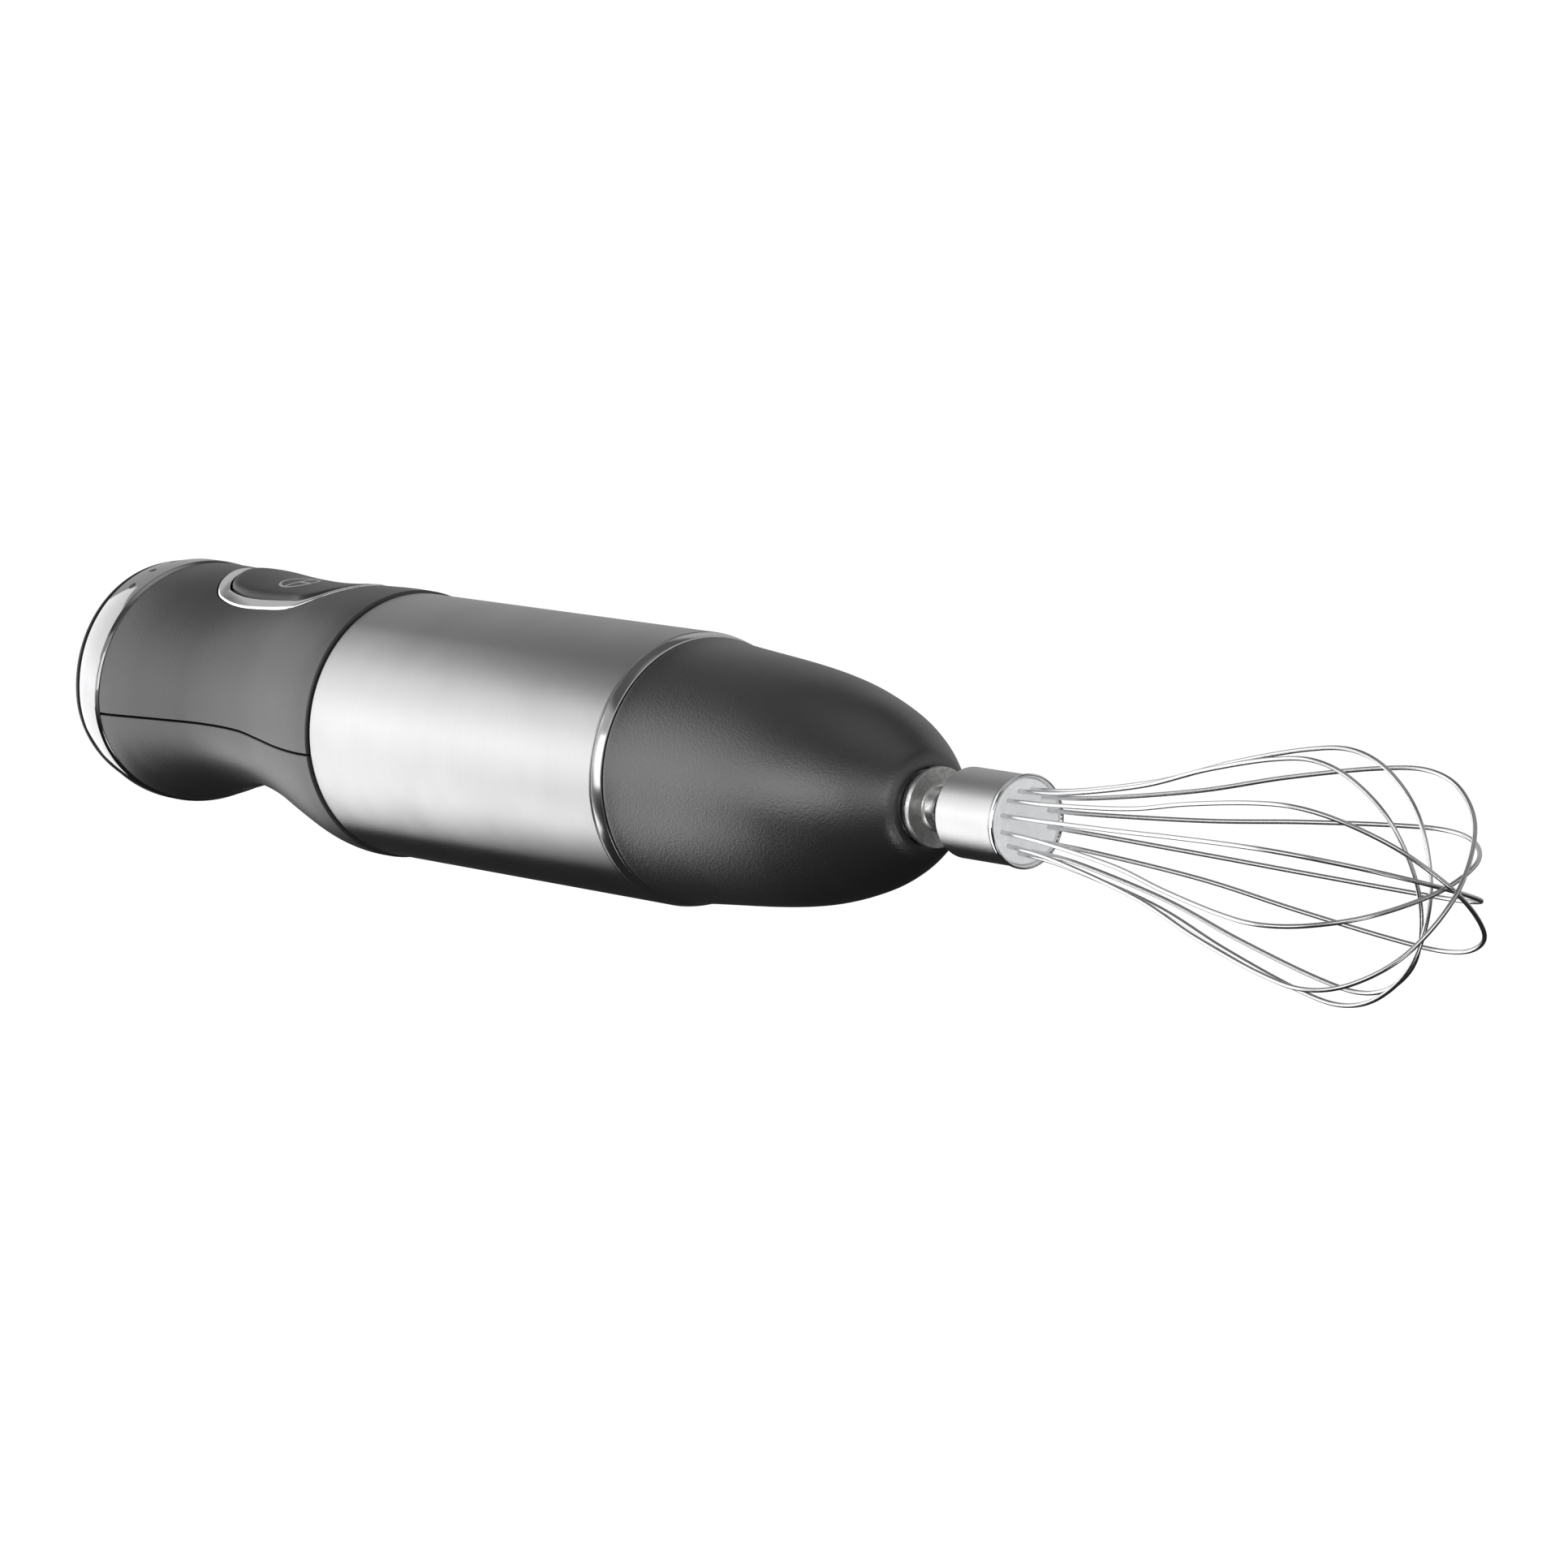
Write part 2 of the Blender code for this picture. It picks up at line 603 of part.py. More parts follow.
def build_electronics():
    """Switch, its bracket, the control board and a capacitor inside the grip."""
    box("microswitch", (-52.0, -3.4, 12.6), (-40.0, 3.4, 18.0), "black_plastic", 0.4)
    bm = box_bmesh((-56.0, -12.0, 18.4), (-36.0, 12.0, 20.2), 0.0)
    bracket = object_from_bmesh("switch_bracket", bm, "white_plastic")
    foot_a = box("bracket_leg_a_cutter", (-56.0, -12.0, 6.2), (-53.5, 12.0, 19.0), None)
    foot_b = box("bracket_leg_b_cutter", (-38.5, -12.0, 6.2), (-36.0, 12.0, 19.0), None)
    hole = cylinder_z("bracket_hole_cutter", -46.0, 0.0, 17.0, 22.0, 2.8, None, 16)
    boolean(bracket, foot_a, "UNION")
    boolean(bracket, foot_b, "UNION")
    boolean(bracket, hole)
    board = box("control_board", (-78.0, -14.0, 4.3), (-30.0, 14.0, 5.9), "board")
    gap = cylinder_z("board_hole_cutter", -70.0, 0.0, 2.0, 8.0, 3.0, None, 16)
    boolean(board, gap)
    cylinder_z("suppression_capacitor", -63.0, -7.0, 6.2, 17.0, 5.0, "brass", 20)


# ---- motor -------------------------------------------------------------------
def build_sleeve():
    """Steel sleeve, plastic motor carrier and chrome front ring."""
    x0, x1 = SLEEVE_X
    inner = SLEEVE_R - SLEEVE_WALL
    lathe("steel_sleeve", ((x0, SLEEVE_R - 0.5), (x0 + 0.5, SLEEVE_R), (x1 - 0.5, SLEEVE_R),
                           (x1, SLEEVE_R - 0.5), (x1, inner), (x0, inner)), "brushed_steel", 32)
    bore = CARRIER_R - CARRIER_WALL
    carrier = lathe("motor_carrier", ((-0.2, CARRIER_R - 0.6), (0.4, CARRIER_R),
                                      (107.9, CARRIER_R), (107.9, 24.9), (98.5, 24.9),
                                      (98.5, bore), (-0.2, bore)), "black_plastic", 20)
    for index in range(4):
        a = math.radians(45.0 + 90.0 * index)
        bm = box_bmesh((14.0, -4.0, 22.0), (26.0, 4.0, 34.0))
        bmesh.ops.transform(bm, matrix=Matrix.Rotation(a, 4, "X"), verts=bm.verts)
        boolean(carrier, object_from_bmesh("carrier_vent_cutter_%d" % index, bm, None))
    lathe("front_trim_ring", ((107.7, 30.5), (107.9, 30.9), (110.4, 30.35), (110.5, 30.0),
                              (110.4, 25.4), (108.5, 25.4), (108.5, 30.1), (107.7, 30.2)),
          "chrome", 32)


def stator_outline():
    """Bore side of the stator lamination: two pole faces and two coil windows."""
    points = []
    steps = 6
    for pole in range(2):
        base = 90.0 + 180.0 * pole
        for i in range(steps + 1):
            a = math.radians(base - 56.0 + 112.0 * i / steps)
            points.append((14.3 * math.cos(a), 14.3 * math.sin(a)))
        tip = math.radians(base + 62.0)
        points.append((16.2 * math.cos(tip), 16.2 * math.sin(tip)))
        root = math.radians(base)
        side = Vector((math.cos(root + math.pi / 2), math.sin(root + math.pi / 2)))
        out = Vector((math.cos(root), math.sin(root)))
        points.append(tuple(out * 15.6 + side * 7.0))
        points.append(tuple(out * 21.4 + side * 7.0))
        for offset in (45.0, 68.0, 90.0, 112.0, 135.0):
            a = math.radians(base + offset)
            points.append((22.6 * math.cos(a), 22.6 * math.sin(a)))
        after = Vector((-out.x, -out.y))
        points.append(tuple(after * 21.4 + side * 7.0))
        points.append(tuple(after * 15.6 + side * 7.0))
        tip = math.radians(base + 180.0 - 62.0)
        points.append((16.2 * math.cos(tip), 16.2 * math.sin(tip)))
    return points


def build_stator():
    """Laminated stator and its two field coils."""
    core = rod("stator_core", STATOR_X[0], STATOR_X[1], STATOR_R, "iron", 32)
    window = prism("stator_window_cutter", stator_outline(), STATOR_X[0] - 2, STATOR_X[1] + 2, None)
    boolean(core, window)
    for index, name in enumerate(("field_coil_upper", "field_coil_lower")):
        sign = 1.0 if index == 0 else -1.0
        x0 = STATOR_X[0] - 3.6
        x1 = STATOR_X[1] + 3.6
        path = []
        for x, y, z in ((x0 + 2.0, -11.2, 16.4), (x1 - 2.0, -11.2, 16.4), (x1, -8.0, 19.0),
                        (x1, 0.0, 20.2), (x1, 8.0, 19.0), (x1 - 2.0, 11.2, 16.4),
                        (x0 + 2.0, 11.2, 16.4), (x0, 8.0, 19.0), (x0, 0.0, 20.2),
                        (x0, -8.0, 19.0)):
            path.append((x, y, sign * z))
        wire(name, path, 1.9, "copper", cyclic=True, sides=1)


def build_armature():
    """Shaft, slotted core, end windings, commutator and fan."""
    rod("motor_shaft", 5.0, 99.6, MOTOR_SHAFT_R, "steel", 20, chamfer=0.4)
    bore = MOTOR_SHAFT_R + 0.05
    outline = []
    for i in range(ARMATURE_SLOTS):
        for part, radius in ((0.08, ARMATURE_R), (0.5, ARMATURE_R), (0.92, ARMATURE_R),
                             (0.93, 10.2), (1.07, 10.2)):
            a = 2.0 * math.pi * (i + part) / ARMATURE_SLOTS
            outline.append((radius * math.cos(a), radius * math.sin(a)))
    core = prism("armature_core", outline, STATOR_X[0] + 0.5, STATOR_X[1] - 0.5, "iron")
    boolean(core, rod("armature_bore_cutter", 20.0, 70.0, bore, None, 20))
    lathe("armature_winding_front", ((61.8, bore), (61.8, 12.0), (63.0, 12.4), (66.0, 11.0),
                                     (68.0, 7.0), (68.0, bore)), "copper", 16)
    lathe("armature_winding_rear", ((30.2, bore), (30.2, 12.0), (29.0, 12.4), (26.0, 11.0),
                                    (24.4, 8.0), (24.4, bore)), "copper", 16)
    bars = []
    for i in range(12):
        for part, radius in ((0.05, 8.2), (0.95, 8.2), (0.96, 7.7), (1.04, 7.7)):
            a = 2.0 * math.pi * (i + part) / 12.0
            bars.append((radius * math.cos(a), radius * math.sin(a)))
    commutator = prism("commutator", bars, 14.0, 24.0, "copper")
    boolean(commutator, rod("commutator_bore_cutter", 10.0, 30.0, bore, None, 20))
    build_fan(bore)


def build_fan(bore):
    """Radial cooling fan on the armature shaft."""
    bm = lathe_bmesh(((FAN_X[0], bore), (FAN_X[0], 5.5), (FAN_X[1] - 2.2, 5.5),
                      (FAN_X[1] - 1.6, FAN_R), (FAN_X[1], FAN_R), (FAN_X[1], bore)), 24)
    fan = object_from_bmesh("cooling_fan", bm, "black_plastic")
    blades = bmesh.new()
    for i in range(FAN_BLADES):
        blade = box_bmesh((FAN_X[0] + 1.5, 5.2, -0.6), (FAN_X[1] - 1.0, FAN_R - 0.6, 0.6))
        turn = Matrix.Rotation(2.0 * math.pi * i / FAN_BLADES, 4, "X")
        bmesh.ops.transform(blade, matrix=turn, verts=blade.verts)
        blades = merge_bmesh(blades, blade)
    blade_tool = object_from_bmesh("fan_blades_cutter", blades, None)
    boolean(fan, blade_tool, "UNION")


def build_motor_frame():
    """Bearings, end brackets, brush holders and brushes."""
    lathe("rear_bearing", ((7.0, 2.56), (7.0, 6.5), (12.0, 6.5), (12.0, 2.56)), "brass", 20)
    lathe("front_bearing", ((84.0, 2.56), (84.0, 8.0), (89.0, 8.0), (89.0, 2.56)), "steel", 24)
    rear = lathe("rear_motor_bracket", ((4.9, 3.2), (4.9, 26.8), (7.9, 26.8), (7.9, 9.0),
                                        (12.4, 9.0), (12.4, 6.8), (6.7, 6.8), (6.7, 3.2)), "black_plastic", 18)
    front = lathe("front_motor_plate", ((81.8, 3.6), (81.8, 26.8), (84.6, 26.8), (84.6, 10.4),
                                        (89.4, 10.4), (89.4, 8.4), (83.7, 8.4), (83.7, 3.6)),
                  "black_plastic", 18)
    for tag, piece, x in (("rear", rear, 6.4), ("front", front, 83.2)):
        vents = bmesh.new()
        for i in range(6):
            vent = box_bmesh((x - 6.0, -3.0, 14.0), (x + 6.0, 3.0, 22.0))
            turn = Matrix.Rotation(2.0 * math.pi * (i + 0.5) / 6.0, 4, "X")
            bmesh.ops.transform(vent, matrix=turn, verts=vent.verts)
            vents = merge_bmesh(vents, vent)
        boolean(piece, object_from_bmesh(tag + "_vents_cutter", vents, None))
    for tag, sign in (("left", 1.0), ("right", -1.0)):
        low_y, high_y = sorted((sign * 10.0, sign * 25.0))
        holder = box("brush_holder_" + tag, (15.2, low_y, -4.2), (22.8, high_y, 4.2), "brass")
        inner_low, inner_high = sorted((sign * 8.0, sign * 28.0))
        well = box("brush_well_cutter_" + tag, (16.4, inner_low, -3.0),
                   (21.6, inner_high, 3.0), None)
        boolean(holder, well)
        low_y, high_y = sorted((sign * 8.5, sign * 20.0))
        box("carbon_brush_" + tag, (16.7, low_y, -2.7), (21.3, high_y, 2.7), "carbon")


def build_coupler():
    """Motor half of the drive coupling, with a hexagonal socket."""
    coupler = lathe("drive_coupler", ((90.2, 2.55), (90.2, 5.6), (98.0, 6.0), (99.0, 7.2),
                                      (107.0, 7.2), (107.0, 2.55)), "nylon", 20)
    boolean(coupler, prism("coupler_socket_cutter", circle(4.1, 6), 100.2, 110.0, None))


# ---- gearbox -----------------------------------------------------------------
def gear_outline(teeth, first_angle, centre=(0.0, 0.0)):
    """Straight-sided outline of an external gear."""
    pitch = GEAR_MODULE * teeth / 2.0
    points = []
    for i in range(teeth):
        middle = math.radians(first_angle) + 2.0 * math.pi * i / teeth
        for half, radius in ((-(TOOTH_HALF + 0.30), pitch - DEDENDUM),
                             (-(TOOTH_HALF - 0.20), pitch + ADDENDUM),
                             (TOOTH_HALF - 0.20, pitch + ADDENDUM),
                             (TOOTH_HALF + 0.30, pitch - DEDENDUM)):
            a = middle + half / radius
            points.append((centre[0] + radius * math.cos(a), centre[1] + radius * math.sin(a)))
    return points


def ring_gear_hole(teeth):
    """Outline of the internal gear's opening, with a tooth at angle zero."""
    pitch = GEAR_MODULE * teeth / 2.0
    points = []
    for i in range(teeth):
        middle = 2.0 * math.pi * i / teeth
        for half, radius in ((-(TOOTH_HALF + 0.28), pitch + DEDENDUM),
                             (-(TOOTH_HALF - 0.20), pitch - ADDENDUM),
                             (TOOTH_HALF - 0.20, pitch - ADDENDUM),
                             (TOOTH_HALF + 0.28, pitch + DEDENDUM)):
            a = middle + half / radius
            points.append((radius * math.cos(a), radius * math.sin(a)))
    return points


def plate_with_holes(name, outer, holes, low, high, finish):
    """An extruded plate whose holes are bridged by a fill, in one closed body."""
    bm = bmesh.new()
    edges = []
    for outline in [outer] + list(holes):
        verts = [bm.verts.new((low, a, b)) for a, b in outline]
        for i, vert in enumerate(verts):
            edges.append(bm.edges.new((vert, verts[(i + 1) % len(verts)])))
    made = bmesh.ops.triangle_fill(bm, edges=edges, use_beauty=True, normal=(1, 0, 0))
    faces = [g for g in made["geom"] if isinstance(g, bmesh.types.BMFace)]
    grown = bmesh.ops.extrude_face_region(bm, geom=faces, use_keep_orig=True)
    moved = [g for g in grown["geom"] if isinstance(g, bmesh.types.BMVert)]
    bmesh.ops.translate(bm, vec=(high - low, 0, 0), verts=moved)
    return object_from_bmesh(name, bm, finish)


def build_gears():
    """Sun, planets on their pins, ring gear and planet carrier."""
    centre_distance = GEAR_MODULE * (SUN_TEETH + PLANET_TEETH) / 2.0
    ring = plate_with_holes("ring_gear", circle(24.4, 36), [ring_gear_hole(RING_TEETH)],
                            GEAR_X[0] - 0.5, GEAR_X[1] + 0.5, "nylon")
    sun = prism("sun_gear", gear_outline(SUN_TEETH, 0.0), GEAR_X[0], GEAR_X[1], "steel")
    boolean(sun, rod("sun_shaft_cutter", 106.5, GEAR_X[0] + 2.0, 2.9, None, 24), "UNION")
    boolean(sun, prism("sun_hex_cutter", circle(3.7, 6), 101.0, 107.5, None), "UNION")
    holes = []
    for index in range(PLANET_COUNT):
        a = 360.0 * index / PLANET_COUNT
        cy = centre_distance * math.cos(math.radians(a))
        cz = centre_distance * math.sin(math.radians(a))
        first = a + 180.0 + 180.0 / PLANET_TEETH
        name = "planet_gear_%d" % (index + 1)
        gear = plate_with_holes(name, gear_outline(PLANET_TEETH, first, (cy, cz)),
                                [circle(PLANET_PIN_R + 0.08, 16, 0.0, (cy, cz))],
                                GEAR_X[0], GEAR_X[1], "nylon")
        set_origin(gear, (0.0, cy, cz))
        prism("planet_pin_%d" % (index + 1), circle(PLANET_PIN_R, 16, 0.0, (cy, cz)),
              126.5, 142.4, "steel")
        holes.append(circle(PLANET_PIN_R + 0.03, 16, 0.0, (cy, cz)))
    disc = plate_with_holes("planet_carrier", circle(17.0, 24), holes + [circle(3.5, 20)],
                            138.9, 142.4, "steel")
    hub = lathe("carrier_hub_cutter", ((141.0, 3.5), (141.0, 6.4), (186.4, 6.4), (186.4, 3.5)),
                None, 20)
    boolean(disc, hub, "UNION")
    return ring, sun, disc


def build_gearbox_case():
    """Dome, rear cover with its plug-in spigot, bush and output collar."""
    inner = []
    for x, r in DOME_OUTER[2:-1]:
        inner.append((x, r - DOME_WALL))
    mouth = ((187.5, 8.4), (181.0, 8.4))
    profile = list(DOME_OUTER) + list(mouth) + [(x, r) for x, r in reversed(inner) if x < 180.0]
    profile += [(110.8, 27.4)]
    lathe("gearbox_housing", profile, "soft_grip", 26)
    lathe("gearbox_cover", ((101.0, 22.4), (101.0, 24.2), (111.3, 24.2), (111.3, 26.3),
                            (114.6, 26.3), (114.6, 4.2), (112.0, 4.2), (112.0, 22.4)),
          "black_plastic", 20)
    lathe("input_bush", ((112.3, 3.0), (112.3, 4.1), (116.0, 4.1), (116.0, 3.0)), "brass", 20)
    lathe("output_bush", ((160.0, 6.5), (160.0, 8.1), (186.8, 8.1), (186.8, 6.5)), "steel", 24)
    lathe("output_collar", ((187.3, 3.3), (187.3, 7.7), (189.3, 7.7), (189.5, 8.9),
                            (190.8, 8.9), (190.8, 4.7), (191.4, 4.4), (192.8, 4.0),
                            (192.8, 3.3)), "zinc", 24)


# ---- whisk -------------------------------------------------------------------
def build_whisk():
    """Drive shaft, ferrule, plug and the crossed wire loops."""
    shaft = lathe("whisk_shaft", ((150.0, 0.0), (150.0, 2.4), (150.8, 3.0), (154.0, 3.0),
                                  (154.6, 2.5), (156.4, 2.5), (157.0, 3.0), (203.0, 3.0),
                                  (203.0, 4.5), (206.0, 4.5), (206.0, 0.0)), "steel", 16)
    x0, x1 = FERRULE_X
    lathe("whisk_ferrule", ((x0, 3.2), (x0, 9.5), (x0 + 0.5, 9.9), (x0 + 1.8, 9.9),
                            (x0 + 2.6, 9.6), (x1 - 1.2, 10.0), (x1 - 0.5, 10.3), (x1, 10.2),
                            (x1, 9.7), (x1 - 1.0, 9.4), (x0 + 2.4, 9.2), (x0 + 2.4, 3.2)),
          "steel", 20)
    plug = lathe("whisk_plug", ((206.6, 0.0), (206.6, 9.0), (218.6, 9.2), (219.4, 9.5),
                                (220.4, 9.5), (220.8, 9.0), (220.2, 5.0), (220.0, 0.0)),
                 "clear_plastic", 18)
    bores = bmesh.new()
    for i in range(2 * WIRE_LOOPS):
        a = WIRE_ROLL + 360.0 * i / (2 * WIRE_LOOPS)
        cy = WIRE_RING_R * math.cos(math.radians(a))
        cz = WIRE_RING_R * math.sin(math.radians(a))
        bores = merge_bmesh(bores, prism_bmesh(circle(WIRE_R + 0.3, 6, a, (cy, cz)), 207.2, 224.0))
    boolean(plug, object_from_bmesh("plug_bores_cutter", bores, None))
    for number, loop in enumerate(LOOPS, 1):
        build_loop(number, loop)
    return shaft


def build_loop(number, loop):
    """One bent wire loop; each crosses the tip a step further out than the last."""
    start, plane, tip, belly, lean = loop
    knots = []
    for side in (1.0, -1.0):
        half = []
        for u, v in LOOP_PROFILE:
            x = LOOP_START + u * (tip - LOOP_START)
            share = max(0.0, min(1.0, u))
            a = math.radians(start + (plane - start) * min(1.0, share / 0.34))
            r = WIRE_RING_R if u <= 0.0 else belly * v
            r = side * r + lean * share * share
            half.append((x, r * math.cos(a), r * math.sin(a)))
        knots = half if side > 0.0 else knots + list(reversed(half[:-1]))
    path = smooth_path(knots, 44)
    wire("whisk_loop_%d" % number, path, WIRE_R, "steel", sides=0)


def main():
    """Build every piece of the hand mixer."""
    clear_scene()
    build_grip()
    build_screws()
    build_rear_end()
    build_button()
    build_electronics()
    build_sleeve()
    build_stator()
    build_armature()
    build_motor_frame()
    build_coupler()
    build_gears()
    build_gearbox_case()
    build_whisk()


main()
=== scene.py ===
"""Looks of a hand mixer with a wire whisk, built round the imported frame.

Lengths are in millimetres until a mesh is finished, when they become metres. +X runs along the
drive axis towards the whisk, +Z is the power button's side, and X = 0 is the joint between the
grip and the steel sleeve.
"""
import json
import logging
import math
from dataclasses import dataclass, field
from enum import Enum
from typing import Dict, Iterable, List, Optional, Sequence, Tuple

import bmesh
import bpy
from mathutils import Matrix, Vector

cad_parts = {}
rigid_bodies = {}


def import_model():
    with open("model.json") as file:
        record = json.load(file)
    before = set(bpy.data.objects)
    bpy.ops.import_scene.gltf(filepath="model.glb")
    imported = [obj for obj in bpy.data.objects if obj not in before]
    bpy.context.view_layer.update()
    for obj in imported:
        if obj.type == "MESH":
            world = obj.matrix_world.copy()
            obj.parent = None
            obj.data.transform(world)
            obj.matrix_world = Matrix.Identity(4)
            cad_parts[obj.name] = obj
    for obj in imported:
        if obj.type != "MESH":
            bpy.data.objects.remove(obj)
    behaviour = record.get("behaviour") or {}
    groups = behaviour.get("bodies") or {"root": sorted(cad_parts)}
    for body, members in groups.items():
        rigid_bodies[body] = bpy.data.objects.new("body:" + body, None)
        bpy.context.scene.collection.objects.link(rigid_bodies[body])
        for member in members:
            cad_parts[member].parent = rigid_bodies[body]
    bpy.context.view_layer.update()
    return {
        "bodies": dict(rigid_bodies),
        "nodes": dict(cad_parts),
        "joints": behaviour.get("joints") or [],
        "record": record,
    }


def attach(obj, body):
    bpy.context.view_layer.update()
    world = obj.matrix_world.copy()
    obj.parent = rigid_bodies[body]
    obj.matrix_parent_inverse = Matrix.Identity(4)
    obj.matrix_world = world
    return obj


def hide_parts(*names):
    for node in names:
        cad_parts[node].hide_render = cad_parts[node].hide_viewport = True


LOG = logging.getLogger("hand_mixer")
MM = 0.001
TAU = 2.0 * math.pi
Pair = Tuple[float, float]
Triple = Tuple[float, float, float]
Colour = Tuple[float, float, float]
ON_AXIS = 1e-4  # a section's point closer to its axis than this is a pole
MIDDLE: Pair = (0.3, 0.7)  # range that most of a noise texture's values lie in
WAVE_SCALE = 0.314  # a wave texture of this scale has one band for each unit


class Slot(Enum):
    """Material slots of the record."""

    SOFT_GRIP = "soft_grip"
    BLACK_PLASTIC = "black_plastic"
    BUTTON_PLASTIC = "button_plastic"
    WHITE_PLASTIC = "white_plastic"
    CLEAR_PLASTIC = "clear_plastic"
    BRUSHED_STEEL = "brushed_steel"
    CHROME = "chrome"
    STEEL = "steel"
    ZINC = "zinc"
    RUBBER = "rubber"


class Body(Enum):
    """Bodies of the frame that finished pieces ride on."""

    MOTOR_UNIT = "motor_unit"
    BUTTON = "button"
    DIAL = "dial"
    GEARBOX = "gearbox"
    CARRIER = "carrier"
    WHISK = "whisk"


def new_object(name: str, data: bpy.types.ID) -> bpy.types.Object:
    """Make an object in the scene for a mesh, light or camera."""
    obj = bpy.data.objects.new(name, data)
    bpy.context.scene.collection.objects.link(obj)
    return obj


# ---- node trees for finishes ----------------------------------------------------------------
class Tree:
    """A node tree with short ways to add and join its nodes."""

    def __init__(self, tree: bpy.types.NodeTree) -> None:
        """Work on a tree."""
        self.tree = tree

    def add(self, kind: str, **settings: object) -> bpy.types.Node:
        """Add a node of a type and set attributes on it."""
        node = self.tree.nodes.new(kind)
        for key, value in settings.items():
            setattr(node, key, value)
        return node

    def link(self, source: bpy.types.NodeSocket, target: bpy.types.NodeSocket) -> None:
        """Join two sockets."""
        self.tree.links.new(source, target)


class Graph(Tree):
    """Builds the node tree of one material."""

    def __init__(self, name: str) -> None:
        """Start an empty material with a Principled shader."""
        self.material = bpy.data.materials.new(name)
        self.material.use_nodes = True
        super().__init__(self.material.node_tree)
        self.tree.nodes.clear()
        output = self.add("ShaderNodeOutputMaterial")
        self.shader = self.add("ShaderNodeBsdfPrincipled")
        self.link(self.shader.outputs[0], output.inputs["Surface"])
        self.object_coords = self.add("ShaderNodeTexCoord").outputs["Object"]

    def stretched(self, scale: Triple) -> bpy.types.NodeSocket:
        """Object coordinates stretched by a scale along each axis."""
        node = self.add("ShaderNodeMapping", vector_type="POINT")
        node.inputs["Scale"].default_value = scale
        self.link(self.object_coords, node.inputs["Vector"])
        return node.outputs["Vector"]

    def noise(self, vector: bpy.types.NodeSocket, scale: float, detail: float = 3.0,
              roughness: float = 0.55) -> bpy.types.NodeSocket:
        """A noise texture's factor.

        Args:
            vector: Coordinates that it reads.
            scale: Number of features per unit of the coordinates.
            detail: Octaves.
            roughness: Share of each finer octave.

        Returns:
            The factor socket.
        """
        node = self.add("ShaderNodeTexNoise", noise_dimensions="3D")
        node.inputs["Scale"].default_value = scale
        node.inputs["Detail"].default_value = detail
        node.inputs["Roughness"].default_value = roughness
        self.link(vector, node.inputs["Vector"])
        return node.outputs["Fac"]

    def spread(self, factor: bpy.types.NodeSocket, source: Pair,
               target: Pair = (0.0, 1.0)) -> bpy.types.NodeSocket:
        """Map a factor from one range to another, clamped."""
        node = self.add("ShaderNodeMapRange", clamp=True)
        self.link(factor, node.inputs["Value"])
        for key, value in zip(("From Min", "From Max", "To Min", "To Max"), source + target):
            node.inputs[key].default_value = value
        return node.outputs["Result"]

    def blend(self, factor: bpy.types.NodeSocket, low: Colour,
              high: Colour) -> bpy.types.NodeSocket:
        """Mix two colours by a factor."""
        node = self.add("ShaderNodeMix", data_type="RGBA", clamp_factor=True)
        self.link(factor, node.inputs[0])
        node.inputs[6].default_value = (*low, 1.0)
        node.inputs[7].default_value = (*high, 1.0)
        return node.outputs[2]

    def total(self, first: bpy.types.NodeSocket, second: bpy.types.NodeSocket,
              share: float) -> bpy.types.NodeSocket:
        """The first value plus a share of the second."""
        node = self.add("ShaderNodeMath", operation="MULTIPLY_ADD")
        self.link(second, node.inputs[0])
        node.inputs[1].default_value = share
        self.link(first, node.inputs[2])
        return node.outputs[0]

    def bands(self, way: str, pitch: float, waver: float) -> bpy.types.NodeSocket:
        """Even bands along a direction, a pitch in millimetres apart, that waver a little."""
        node = self.add("ShaderNodeTexWave", wave_type="BANDS", bands_direction=way)
        node.inputs["Scale"].default_value = WAVE_SCALE / (pitch * MM)
        node.inputs["Distortion"].default_value = waver
        self.link(self.object_coords, node.inputs["Vector"])
        return node.outputs["Fac"]

    def relief(self, height: bpy.types.NodeSocket, strength: float, depth: float) -> None:
        """Feed a height into the shader's normal.

        Args:
            height: Height factor.
            strength: Strength of the bump.
            depth: Depth of a full step, millimetres.
        """
        node = self.add("ShaderNodeBump")
        node.inputs["Strength"].default_value = strength
        node.inputs["Distance"].default_value = depth * MM
        self.link(height, node.inputs["Height"])
        self.link(node.outputs["Normal"], self.shader.inputs["Normal"])

    def fix(self, **values: object) -> None:
        """Set constants on the shader's own sockets; underscores stand for spaces."""
        for key, value in values.items():
            self.shader.inputs[key.replace("_", " ")].default_value = value

    def feed(self, key: str, source: bpy.types.NodeSocket) -> None:
        """Link a socket to one of the shader's inputs."""
        self.link(source, self.shader.inputs[key])

    def tint(self, factor: bpy.types.NodeSocket, shades: Tuple[Colour, Colour],
             span: Optional[Pair] = None) -> None:
        """Colour the surface between two shades as a factor runs over a span."""
        if span:
            factor = self.spread(factor, span)
        self.feed("Base Color", self.blend(factor, *shades))

    def roughen(self, factor: bpy.types.NodeSocket, span: Pair, target: Pair) -> None:
        """Change the roughness as a factor runs over a span."""
        self.feed("Roughness", self.spread(factor, span, target))


@dataclass(frozen=True)
class Finish:
    """A surface finish that makes its material once."""

    name: str
    colour: Colour
    roughness: float

    def build(self) -> bpy.types.Material:
        """Make the material's node tree."""
        raise NotImplementedError

    def material(self) -> bpy.types.Material:
        """The finish's material, made on first use."""
        found = bpy.data.materials.get(self.name)
        return found if found else self.build()

    def dress(self, obj: bpy.types.Object) -> None:
        """Give an object this finish alone."""
        obj.data.materials.clear()
        obj.data.materials.append(self.material())

    def shades(self, change: float) -> Tuple[Colour, Colour]:
        """The colour made darker and lighter by a share."""
        low = tuple(max(0.0, c * (1.0 - change)) for c in self.colour)
        high = tuple(min(1.0, c * (1.0 + change)) for c in self.colour)
        return low, high


